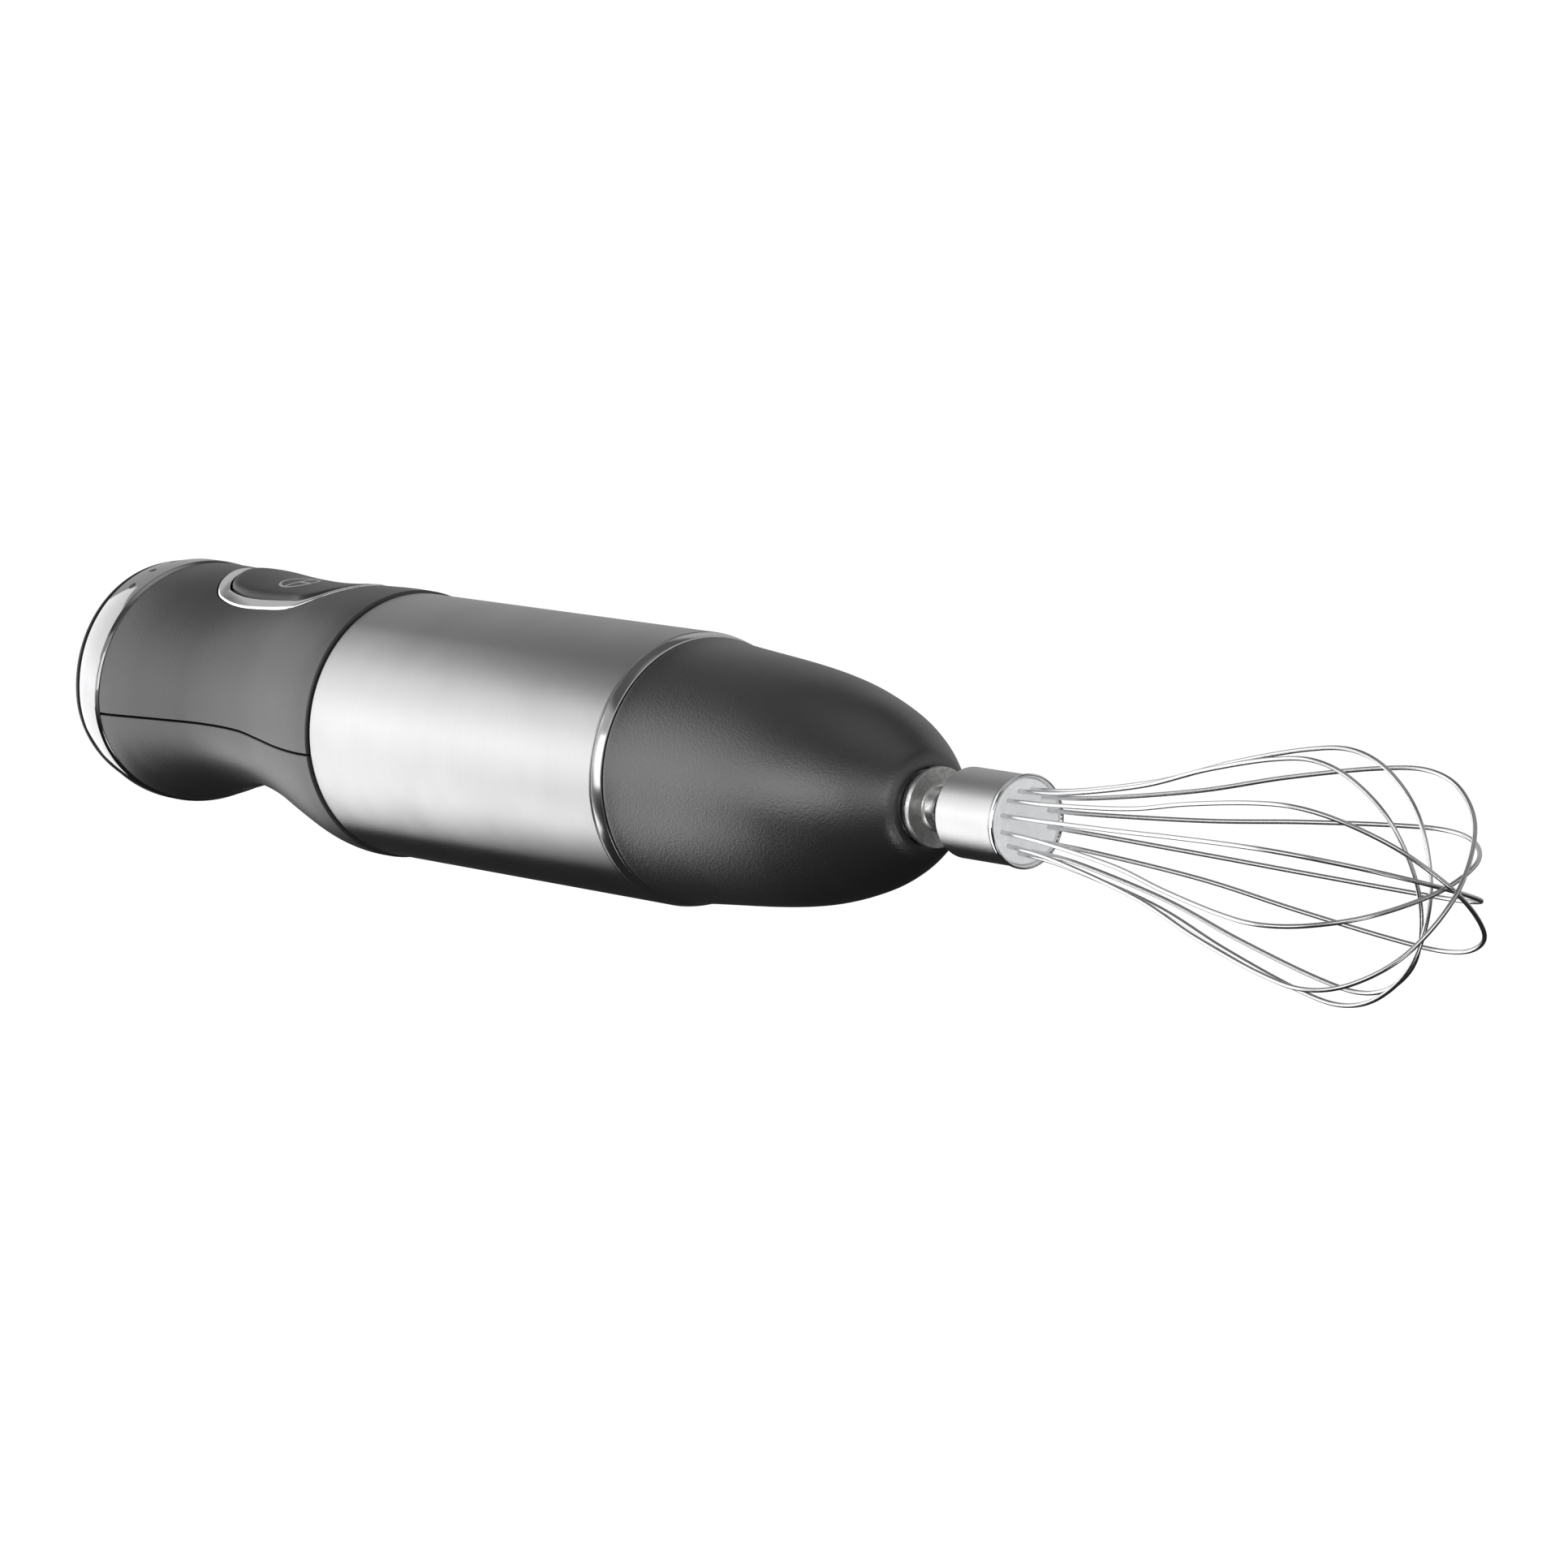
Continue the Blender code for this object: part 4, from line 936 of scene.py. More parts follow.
@dataclass
class Grip:
    """Both soft-touch grip halves and the screws that hold them."""

    form: GripForm = field(default_factory=GripForm)
    ends: Pair = (-85.0, -0.4)
    wall: float = 2.4
    gap: float = 0.42
    edge: float = 0.35
    posts: Pair = (-70.0, -24.0)
    post_radius: float = 4.2
    head_bore: float = 3.3
    shank_bore: float = 1.9

    def stations(self) -> List[Tuple[float, float]]:
        """Stations along the grip and how far each falls back, close together at the ends."""
        low, high = self.ends
        near = [0.0, 0.08, 0.2, 0.36, 0.56, 0.8, 1.1]
        middle = [1.1 + (high - low - 2.2) * i / 84.0 for i in range(1, 84)]
        spots = near + middle + [high - low - d for d in reversed(near)]
        return [(low + s, eased(min(s, high - low - s), self.edge)) for s in spots]

    def half(self, name: str, upper: bool) -> bpy.types.Object:
        """One moulded half: an open channel with an even wall and rounded edges.

        Args:
            name: Name of the piece.
            upper: Whether it is the half with the button.

        Returns:
            The piece.
        """
        near = [0.0, 0.06, 0.16, 0.3, 0.5, 0.8]
        rows = []
        for x, fall in self.stations():
            height = self.form.joint_height(x) + (self.gap / 2 if upper else -self.gap / 2)
            row = []
            for inset, inner in ((0.0, False), (self.wall, True)):
                start = self.form.joint_angle(x, inset, height)
                first, last = (start, math.pi - start) if upper else (math.pi - start, TAU + start)
                length = (last - first) * 30.0
                middle = [0.8 + (length - 1.6) * i / 72.0 for i in range(1, 72)]
                spots = near + middle + [length - d for d in reversed(near)]
                points = []
                for s in spots:
                    back = 0.0 if inner else max(fall, eased(min(s, length - s), self.edge))
                    angle = first + (last - first) * s / length
                    points.append(self.form.skin(x, angle, inset + back))
                row.extend(reversed(points) if inner else points)
            rows.append(row)
        draft = Draft().add_rows(rows)
        half = len(rows[0]) // 2
        for row in (rows[0], rows[-1]):
            draft.add_rows([row[:half], list(reversed(row[half:]))], ring=False)
        return draft.piece(name, 40.0)

    def build(self, opening: Sequence[Pair], repeat: RepeatTool) -> None:
        """Build the halves and their screws.

        Args:
            opening: Outline of the button's opening.
            repeat: Tree that repeats a piece.
        """
        upper = self.half("upper_grip_skin", True)
        carve(upper, Draft().extrude(opening, 18.0, 40.0, "Z"), sharp=40.0)
        place(upper, Body.MOTOR_UNIT, Slot.SOFT_GRIP, "upper_handle_shell",
              finish=Finishes.grip)
        lower = self.half("lower_grip_skin", False)
        for x in self.posts:
            floor = -self.form.look_up(self.form.stations, x, 2)
            carve(lower, self.post(x, floor + 1.2, -4.0, self.post_radius), "UNION", 40.0)
            carve(lower, self.post(x, floor - 3.0, floor + 5.0, self.head_bore), sharp=40.0)
            carve(lower, self.post(x, floor - 3.0, 0.0, self.shank_bore), sharp=40.0)
        place(lower, Body.MOTOR_UNIT, Slot.SOFT_GRIP, "lower_handle_shell",
              finish=Finishes.grip)
        for tag, x in zip(("rear", "front"), self.posts):
            self.screw("%s_grip_screw" % tag, x, "grip_screw_%s" % tag, repeat)

    def post(self, x: float, low: float, high: float, radius: float) -> Draft:
        """A round post along Z."""
        return Draft().extrude(circle(radius, 32, (x, 0.0)), low, high, "Z")

    def screw(self, name: str, x: float, node: str, repeat: RepeatTool) -> None:
        """A cross-head screw with a thread, head down in its post.

        Args:
            name: Name of the piece.
            x: Station of the screw.
            node: CAD node that it stands for.
            repeat: Tree that repeats the thread's turns.
        """
        floor = -self.form.look_up(self.form.stations, x, 2)
        turn = Matrix.Translation((x * MM, 0.0, 0.0)) @ Matrix.Rotation(math.radians(-90.0), 4, "Y")
        profile = fillet(((floor + 2.6, 0.0), (floor + 2.6, 2.4), (floor + 3.3, 2.75),
                          (floor + 4.7, 2.8), (floor + 4.8, 1.35), (3.3, 1.35), (4.2, 0.3),
                          (4.2, 0.0)), 0.25, closed=False)
        head = Draft().revolve(profile, 40).piece(name)
        for a in (0.0, math.pi / 2.0):
            c, s = math.cos(a), math.sin(a)
            cross = [(c * u - s * v, s * u + c * v)
                     for u, v in rectangle((-1.7, -0.28), (1.7, 0.28))]
            carve(head, Draft().extrude(cross, floor + 2.0, floor + 3.7))
        ring = Draft().revolve(fillet(((floor + 5.4, 1.25), (floor + 5.75, 1.6),
                                       (floor + 6.1, 1.25)), 0.05), 28).piece(name + "_thread")
        pitch = 0.8
        turns = int((2.8 - floor - 5.4) / pitch)
        repeat.run(ring, Finishes.screw, Count=turns, Turn=0.0, Shift=(pitch * MM, 0.0, 0.0))
        for piece in (head, ring):
            piece.data.transform(turn)
        place(head, Body.MOTOR_UNIT, Slot.STEEL, node, finish=Finishes.screw)
        place(ring, Body.MOTOR_UNIT, Slot.STEEL)


# ---- button ----------------------------------------------------------------------------------
@dataclass
class PowerButton:
    """Chrome bezel and the power button in it, both following the grip's top."""

    form: GripForm = field(default_factory=GripForm)
    half_outline: Tuple[Pair, ...] = (
        (-69.6, 0.0), (-68.8, 3.5), (-67.0, 7.0), (-64.4, 10.8), (-61.5, 13.5), (-57.8, 15.3),
        (-50.4, 16.2), (-40.0, 15.7), (-31.4, 15.2), (-27.4, 13.8), (-23.6, 10.8), (-20.6, 7.0),
        (-18.4, 3.3), (-17.4, 0.0))
    rim: Pair = (2.9, 1.4)
    slit: Pair = (0.6, 0.4)
    centre: Pair = (-45.0, 0.0)
    flat: float = 0.15
    proud: float = 0.7
    fade: Pair = (-45.0, 22.0)  # where the button starts to sink towards its front, and how long
    mark: Pair = (-42.0, -3.2)
    mark_radius: float = 4.7
    mark_height: float = 0.93

    def outline(self, inset: float, front: Optional[float] = None) -> List[Pair]:
        """The opening's outline, shrunk.

        Args:
            inset: How far to shrink it at its rear and sides.
            front: How far to shrink it at its front, if not the same.

        Returns:
            Points round it.
        """
        front = inset if front is None else front
        half = list(self.half_outline)
        full = half + [(x, -y) for x, y in reversed(half[1:-1])]
        ring = smooth_curve([(x, y, 0.0) for x, y in full], 156, closed=True)
        result = []
        for i, here in enumerate(ring):
            side = (ring[(i + 1) % len(ring)] - ring[i - 1]).normalized()
            share = max(0.0, min(1.0, (here.x + 33.0) / 9.0))
            move = inset + (front - inset) * share
            result.append((here.x + side.y * move, here.y - side.x * move))
        return result

    def rows(self, steps: Sequence[Tuple[float, float, float]]) -> List[List[Vector]]:
        """Rows round the outline for steps of (rear inset, front inset, lift)."""
        return [[self.form.roof(x, y, lift) for x, y in self.outline(wide, narrow)]
                for wide, narrow, lift in steps]

    def build_bezel(self) -> None:
        """A flat chrome rim with a bevelled outer edge."""
        wide, narrow = self.rim
        steps = ((0.0, 0.0, -2.8), (0.0, 0.0, -0.2), (0.03, 0.03, -0.02), (0.16, 0.12, 0.19),
                 (0.26, 0.2, 0.25), (0.4, 0.28, 0.28), (wide - 0.5, narrow - 0.3, 0.28),
                 (wide - 0.2, narrow - 0.13, 0.22), (wide - 0.05, narrow - 0.04, 0.08),
                 (wide, narrow, -0.15), (wide, narrow, -2.8))
        bezel = Draft().add_rows(self.rows(steps), loop=True).piece("bezel_rim", 30.0)
        place(bezel, Body.MOTOR_UNIT, Slot.CHROME, "button_bezel", finish=Finishes.chrome)

    def build_button(self) -> None:
        """The button with softened edges, a slight dish and its stem."""
        wide, narrow = self.rim[0] + self.slit[0], self.rim[1] + self.slit[1]
        steps = ((0.0, -2.6), (0.0, -0.3), (0.05, 0.05), (0.18, 0.36), (0.4, 0.62), (0.72, 0.82),
                 (1.15, 0.94), (1.8, 1.0))
        rows = [[self.face(x, y, lift) for x, y in self.outline(wide + s, narrow + s)]
                for s, lift in steps]
        last = self.outline(wide + steps[-1][0], narrow + steps[-1][0])
        for share in (0.9, 0.78, 0.64, 0.5, 0.36, 0.22, 0.1):
            rows.append([self.face(self.centre[0] + (x - self.centre[0]) * share, y * share,
                                   self.lift(share)) for x, y in last])
        rows.append([self.face(self.centre[0], 0.0, self.lift(0.0))])
        middle = sum(p.z for p in rows[0]) / len(rows[0])
        rows = [[Vector((self.centre[0], 0.0, middle))]] + rows
        button = Draft().add_rows(rows).piece("button_cap", 35.0)
        stem = Draft().extrude(circle(2.4, 24, (-46.0, 0.0)), 20.6, 29.2, "Z")
        carve(button, stem, "UNION", 35.0)
        place(button, Body.BUTTON, Slot.BUTTON_PLASTIC, "power_button", finish=Finishes.button)

    def face(self, x: float, y: float, lift: float) -> Vector:
        """A point over the button, which is flatter from side to side than the grip."""
        start, length = self.fade
        lift -= self.proud * max(0.0, min(1.0, (x - start) / length))
        point = self.form.roof(x, y, lift)
        crest = self.form.roof(x, 0.0, lift)
        point.z += self.flat * (crest.z - point.z)
        return point

    def lift(self, share: float) -> float:
        """Height of the button's face over the skin, from its edge (1) to its middle (0)."""
        return 1.0 - 0.12 * (1.0 - share * share)

    def build_mark(self) -> None:
        """A printed ring with a bar across it and a short stem."""
        x, y = self.mark
        paths = {"mark_ring": circle(self.mark_radius, 72, self.mark),
                 "mark_bar": [(x, y - 4.5 + 9.0 * k / 16) for k in range(17)],
                 "mark_stem": [(x + 0.2 + 4.2 * k / 8, y) for k in range(9)]}
        for name, loop in paths.items():
            rows = []
            size = len(loop)
            closed = name == "mark_ring"
            for i, here in enumerate(loop):
                before = loop[i - 1] if closed or i else here
                after = loop[(i + 1) % size] if closed or i < size - 1 else here
                along = (Vector(after) - Vector(before)).normalized()
                side = Vector((-along.y, along.x))
                row = []
                for offset, lift in ((-0.34, -0.2), (-0.34, 0.02), (-0.26, 0.06), (0.26, 0.06),
                                     (0.34, 0.02), (0.34, -0.2)):
                    x, y = here[0] + side.x * offset, here[1] + side.y * offset
                    row.append(self.face(x, y, self.mark_height + lift))
                rows.append(row)
            draft = Draft().add_rows(rows, loop=closed)
            if not closed:
                draft.add_caps(rows[0], rows[-1])
            place(draft.piece(name, 50.0), Body.BUTTON, Slot.WHITE_PLASTIC,
                  finish=Finishes.print_grey)


# ---- rear end --------------------------------------------------------------------------------
@dataclass
class RearEnd:
    """Trim ring, end cap, speed dial and cord gland."""

    form: GripForm = field(default_factory=GripForm)
    ring: Pair = (-94.2, -85.4)
    crown: float = -90.0  # where the ring stands proudest
    proud: float = 0.7
    lean: float = -0.12
    marks: Tuple[Pair, ...] = ((-91.2, 98.0), (-90.3, 110.5), (-89.7, 123.5))  # station, angle
    dial_axis: Pair = (0.0, 8.5)
    gland_axis: Pair = (0.0, -14.0)
    dial_radius: float = 13.5
    bore: float = 4.3
    segments: int = 168

    def skinned(self, name: str, section: Sequence[Triple], radius: float) -> bpy.types.Object:
        """A closed band that follows the grip's oval.

        Args:
            name: Name of the piece.
            section: Corners as (x, inset, tilt).
            radius: Fillet of the corners.

        Returns:
            The piece.
        """
        rows = []
        for x, inset, tilt in fillet(section, radius):
            rows.append([self.form.skin(x, TAU * k / self.segments, inset, tilt)
                         for k in range(self.segments)])
        return Draft().add_rows(rows, loop=True).piece(name, 34.0)

    def build_ring(self) -> None:
        """The chrome trim ring with its speed marks."""
        low, high = self.ring
        ring = self.skinned("trim_ring_polished",
                            ((high, 0.2, 0.0), (high - 0.6, -0.5, -0.01),
                             (self.crown, -self.proud, self.lean / 2.0),
                             (low + 0.7, -0.2, self.lean), (low, 0.6, self.lean),
                             (low + 0.5, 2.4, self.lean), (high, 2.4, 0.0)), 0.45)
        place(ring, Body.MOTOR_UNIT, Slot.CHROME, "rear_trim_ring", finish=Finishes.trim)
        for number, (x, angle) in enumerate(self.marks):
            self.mark(number, x, math.radians(angle))

    def mark(self, number: int, middle: float, angle: float) -> None:
        """A small dark inlaid oval on the ring's top.

        Args:
            number: Place in the row of marks.
            middle: Station of its middle.
            angle: Angle of its middle round the ring.
        """
        rows = []
        for share, lift in ((1.0, -0.2), (1.0, 0.03), (0.8, 0.045), (0.4, 0.05)):
            row = []
            for k in range(28):
                a = TAU * k / 28
                x = middle + 0.75 * share * math.cos(a)
                turn = angle + (0.8 + 0.12 * number) * share * math.sin(a) / 31.0
                row.append(self.face(x, turn, lift))
            rows.append(row)
        rows.append([self.face(middle, angle, 0.05)])
        draft = Draft().add_rows(rows).add_caps(rows[0])
        place(draft.piece("speed_mark_%d" % (number + 1)), Body.MOTOR_UNIT, Slot.BLACK_PLASTIC,
              finish=Finishes.button)

    def face(self, x: float, angle: float, lift: float) -> Vector:
        """A point over the rear slope of the ring's face."""
        share = max(0.0, (x - self.crown) / (self.ring[0] + 0.7 - self.crown))
        return self.form.skin(x, angle, 0.5 * share - self.proud - lift,
                              self.lean * (1.0 + share) / 2.0)

    def build_cap(self) -> None:
        """The black end cap with its recessed face."""
        high = self.ring[1]
        cap = self.skinned("end_cap_moulding",
                           ((high + 0.2, 2.8, 0.0), (high + 0.2, 5.0, 0.0), (-93.5, 5.0, -0.03),
                            (-93.6, 18.0, -0.03), (-97.7, 18.0, -0.03), (-98.4, 8.0, -0.03),
                            (-97.2, 3.0, -0.08), (-96.0, 0.3, -0.11), (-95.6, 0.0, -0.12),
                            (-94.75, 0.0, -0.12), (-94.6, 2.8, -0.12)), 0.3)
        plate = fillet(rectangle((-15.0, -12.0), (15.0, 14.0)), 3.0)
        carve(cap, Draft().extrude(plate, -96.4, -93.9), "UNION")
        for axis, radius in ((self.dial_axis, 3.4), (self.gland_axis, 6.1)):
            carve(cap, Draft().revolve(((-105.0, 0.0), (-105.0, radius), (-88.0, radius),
                                        (-88.0, 0.0)), 48, axis))
        place(cap, Body.MOTOR_UNIT, Slot.BLACK_PLASTIC, "rear_end_cap", finish=Finishes.black)

    def build_dial(self, repeat: RepeatTool) -> None:
        """The speed dial: a dished disc with a ridged rim, a stem and a pointer."""
        y, z = self.dial_axis
        r = self.dial_radius
        profile = fillet(((-103.0, 0.0), (-103.0, 8.6), (-102.4, 9.2), (-102.4, 10.6),
                          (-103.0, 11.2), (-103.0, r - 0.6), (-99.4, r - 0.6), (-99.4, 3.0),
                          (-86.0, 3.0), (-86.0, 0.0)), 0.4, closed=False)
        dial = Draft().revolve(profile, 96, self.dial_axis).piece("dial_disc")
        place(dial, Body.DIAL, Slot.BLACK_PLASTIC, "speed_dial", finish=Finishes.black)
        section = fillet(((r - 1.1, -0.75), (r - 0.25, -0.55), (r, 0.0), (r - 0.25, 0.55),
                          (r - 1.1, 0.75)), 0.2)
        ridge = Draft().extrude(section, -102.7, -99.6).piece("dial_ridges")
        ridges = 30
        repeat.run(ridge, Finishes.black, Count=ridges, Turn=TAU / ridges,
                   Centre=(0.0, y * MM, z * MM))
        place(ridge, Body.DIAL, Slot.BLACK_PLASTIC)
        bar = fillet(rectangle((y - 0.55, z + 4.0), (y + 0.55, z + 8.2)), 0.5)
        pointer = Draft().extrude(bar, -103.06, -102.8).piece("dial_pointer")
        place(pointer, Body.DIAL, Slot.WHITE_PLASTIC, finish=Finishes.print_grey)

    def build_gland(self, repeat: RepeatTool) -> None:
        """The rubber cord gland: a ribbed sleeve with an open bore."""
        profile = fillet(((-110.0, 5.0), (-109.4, 5.25), (-99.2, 5.9), (-99.2, 7.4), (-98.4, 7.4),
                          (-98.4, 5.8), (-93.0, 5.8), (-92.6, 6.7), (-91.0, 6.7),
                          (-91.0, self.bore), (-110.0, self.bore)), 0.25)
        gland = Draft().revolve(profile, 72, self.gland_axis).piece("gland_sleeve")
        place(gland, Body.MOTOR_UNIT, Slot.RUBBER, "cord_gland", finish=Finishes.rubber)
        y, z = self.gland_axis
        ring = fillet(((-109.2, 5.0), (-109.0, 5.65), (-108.2, 5.7), (-108.0, 5.0)), 0.2)
        rib = Draft().revolve(ring, 60).piece("gland_ribs")
        repeat.run(rib, Finishes.rubber, Count=5, Turn=0.0, Shift=(1.75 * MM, 0.0, 0.0),
                   Centre=(0.0, y * MM, z * MM))
        place(rib, Body.MOTOR_UNIT, Slot.RUBBER)

    def build(self, repeat: RepeatTool) -> None:
        """Build the whole rear end."""
        self.build_ring()
        self.build_cap()
        self.build_dial(repeat)
        self.build_gland(repeat)


# ---- motor sleeve and gearbox head -----------------------------------------------------------
@dataclass
class MotorSleeve:
    """Brushed steel sleeve, chrome front ring and the screws of the motor plate."""

    span: Pair = (0.4, 107.4)
    radius: float = 31.0
    wall: float = 0.9

    def build(self, repeat: RepeatTool) -> None:
        """Build the sleeve, its ring and the plate's screws."""
        x0, x1 = self.span
        inner = self.radius - self.wall
        sleeve = Draft().revolve(fillet(((x0, inner), (x0, self.radius), (x1, self.radius),
                                         (x1, inner)), 0.42, steps=6), 256).piece("sleeve_skin")
        place(sleeve, Body.MOTOR_UNIT, Slot.BRUSHED_STEEL, "steel_sleeve",
              finish=Finishes.sleeve)
        ring = Draft().revolve(fillet(((107.7, 30.3), (107.8, 30.9), (110.4, 30.32), (110.5, 30.0),
                                       (110.4, 25.4), (108.5, 25.4), (108.5, 30.0),
                                       (107.7, 30.15)), 0.1), 256)
        place(ring.piece("front_ring_polished"), Body.MOTOR_UNIT, Slot.CHROME,
              "front_trim_ring", finish=Finishes.satin)
        self.plate_screws(repeat)

    def plate_screws(self, repeat: RepeatTool) -> None:
        """Four cross-head screws that hold the front motor plate."""
        off = 24.2
        head = Draft().revolve(fillet(((84.7, 0.0), (84.7, 2.3), (85.6, 2.3), (86.3, 1.3),
                                       (86.4, 0.0)), 0.3, closed=False), 32, (off, 0.0))
        screw = head.piece("motor_plate_screws")
        for a, b in ((1.4, 0.22), (0.22, 1.4)):
            slot = rectangle((off - a, -b), (off + a, b))
            carve(screw, Draft().extrude(slot, 85.7, 88.0))
        repeat.run(screw, Finishes.screw, Count=4, First_Turn=math.radians(45.0),
                   Turn=math.radians(90.0))
        place(screw, Body.MOTOR_UNIT, Slot.STEEL)


@dataclass
class GearHead:
    """The soft-touch dome in front of the motor."""

    outer: Tuple[Pair, ...] = (
        (111.6, 30.0), (118.0, 29.2), (139.5, 27.4), (151.9, 25.85), (161.2, 23.9),
        (170.5, 21.0), (176.7, 18.2), (181.4, 15.4), (185.8, 12.2), (187.3, 10.0))
    wall: float = 2.4
    mouth: float = 8.4

    def build(self) -> None:
        """Turn the dome: a smooth skin, a rounded mouth and an open back."""
        curve = [(p.x, p.y) for p in smooth_curve([(x, r, 0.0) for x, r in self.outer], 96)]
        front = [(p.x, p.y) for p in fillet(((curve[-1][0], curve[-1][1], 0.0),
                                             (187.5, self.mouth, 0.0), (181.0, self.mouth, 0.0)),
                                            0.5, closed=False)][1:]
        inner = [(x, r - self.wall) for x, r in reversed(self.outer[1:-1]) if x < 180.0]
        profile = [(110.8, 27.4), (110.8, 29.75), (110.87, 29.92), (111.05, 30.03), (111.3, 30.05)]
        profile += curve + front + inner
        dome = Draft().revolve(profile, 256).piece("dome_skin", 38.0)
        place(dome, Body.GEARBOX, Slot.SOFT_GRIP, "gearbox_housing", finish=Finishes.dome)


# ---- whisk -----------------------------------------------------------------------------------
@dataclass
class OutputCollar:
    """The turned collar that the whisk's shaft plugs into."""

    notch_angle: float = math.radians(178.0)

    def build(self) -> None:
        """Build the grey insert with its notch and the stepped disc."""
        profile = fillet(((187.3, 3.3), (187.3, 7.7), (189.2, 7.7), (189.4, 8.55), (189.55, 8.9),
                          (190.65, 8.9), (190.8, 8.75), (190.8, 5.3), (191.0, 5.1), (191.2, 4.7),
                          (191.6, 4.5), (192.3, 4.3), (192.8, 4.0), (192.8, 3.3)), 0.12)
        collar = Draft().revolve(profile, 128).piece("collar_turned")
        turn = self.notch_angle
        out = Vector((math.cos(turn), math.sin(turn)))
        side = Vector((-math.sin(turn), math.cos(turn)))
        notch = [out * a + side * b for a, b in rectangle((7.0, -0.6), (8.2, 0.6))]
        carve(collar, Draft().extrude(notch, 187.7, 188.9))
        place(collar, Body.CARRIER, Slot.ZINC, "output_collar", finish=Finishes.zinc)


@dataclass
class Whisk:
    """Shaft, ferrule, clear plug and six wire loops."""

    wire: float = 0.5
    ring: float = 6.85
    start: float = 218.6
    # share of a loop's length and share of its widest radius, from the ferrule to the tip
    profile: Tuple[Pair, ...] = (
        (-0.085, 0.262), (-0.03, 0.262), (0.0, 0.262), (0.125, 0.313), (0.344, 0.504),
        (0.518, 0.742), (0.697, 0.942), (0.808, 0.994), (0.897, 0.863), (0.969, 0.536), (1.0, 0.0))
    # angle in the ferrule, angle of the loop's plane, tip, widest radius, lean at the tip
    loops: Tuple[Tuple[float, float, float, float, float], ...] = (
        (105.0, 105.0, 337.9, 25.2, -2.2), (75.0, 87.0, 341.9, 26.0, -1.7),
        (165.0, 164.0, 343.8, 26.2, -2.0), (15.0, 15.2, 346.3, 27.4, -2.4),
        (135.0, 141.0, 348.1, 26.2, -2.6), (45.0, 51.0, 349.8, 26.8, -1.3))

    def build_shaft(self) -> None:
        """The plug-in shaft with its snap groove."""
        profile = fillet(((150.0, 0.0), (150.0, 2.4), (150.8, 3.0), (154.0, 3.0), (154.6, 2.5),
                          (156.4, 2.5), (157.0, 3.0), (203.0, 3.0), (203.0, 4.5), (206.0, 4.5),
                          (206.0, 0.0)), 0.2, closed=False)
        shaft = Draft().revolve(profile, 64).piece("shaft_ground")
        place(shaft, Body.WHISK, Slot.STEEL, "whisk_shaft", finish=Finishes.shaft)

    def build_ferrule(self) -> None:
        """The satin ferrule with a groove and a rolled front rim."""
        profile = fillet(((200.0, 3.2), (200.0, 9.0), (200.5, 9.7), (201.0, 9.9), (217.6, 9.9),
                          (218.3, 9.95), (218.3, 9.4), (202.4, 9.3), (202.4, 3.2)), 0.3, steps=5)
        ferrule = Draft().revolve(profile, 160).piece("ferrule_skin", 40.0)
        rim = Draft().revolve(fillet(((218.32, 9.42), (218.32, 9.97), (218.9, 10.2), (219.4, 10.25),
                                      (219.8, 10.05), (219.8, 9.75), (219.3, 9.5)), 0.25), 160)
        place(rim.piece("ferrule_rim", 40.0), Body.WHISK, Slot.STEEL, finish=Finishes.chrome)
        place(ferrule, Body.WHISK, Slot.STEEL, "whisk_ferrule", finish=Finishes.ferrule)

    def build_plug(self) -> None:
        """The clear plug that the wires stand in, with a socket round each wire."""
        profile = fillet(((206.6, 0.0), (206.6, 9.0), (218.6, 9.1), (219.0, 9.15), (219.4, 8.8),
                          (219.2, 8.2), (218.9, 4.0), (218.8, 0.0)), 0.3, closed=False)
        plug = Draft().revolve(profile, 96).piece("plug_clear", 40.0)
        socket = self.wire + 0.2
        for loop in self.loops:
            for side in (0.0, 180.0):
                a = math.radians(loop[0] + side)
                centre = (self.ring * math.cos(a), self.ring * math.sin(a))
                carve(plug, Draft().revolve(((207.4, 0.0), (207.4, socket), (222.0, socket),
                                             (222.0, 0.0)), 16, centre), sharp=40.0)
        place(plug, Body.WHISK, Slot.CLEAR_PLASTIC, "whisk_plug", finish=Finishes.clear)

    def path(self, loop: Tuple[float, float, float, float, float]) -> List[Vector]:
        """Points along one loop from end to end.

        Args:
            loop: Its entry in the table of loops.

        Returns:
            The points.
        """
        start, plane, tip, belly, lean = loop
        knots: List[Vector] = []
        for side in (1.0, -1.0):
            half = []
            for u, v in self.profile:
                x = self.start + u * (tip - self.start)
                share = max(0.0, min(1.0, u))
                a = math.radians(start + (plane - start) * min(1.0, share / 0.34))
                r = side * (self.ring if u <= 0.0 else belly * v) + lean * share * share
                half.append(Vector((x, r * math.cos(a), r * math.sin(a))))
            knots = half if side > 0.0 else knots + list(reversed(half[:-1]))
        return smooth_curve(knots, 240)

    def build_loops(self, wire: WireTool) -> None:
        """Sweep the six loops, from the shortest to the longest."""
        for number, loop in enumerate(self.loops, 1):
            obj = path_object("loop_wire_%d" % number, self.path(loop))
            wire.run(obj, Finishes.wire, Radius=self.wire * MM, Sides=14)
            place(obj, Body.WHISK, Slot.STEEL, "whisk_loop_%d" % number)

    def build(self, wire: WireTool) -> None:
        """Build the whole whisk."""
        self.build_shaft()
        self.build_ferrule()
        self.build_plug()
        self.build_loops(wire)


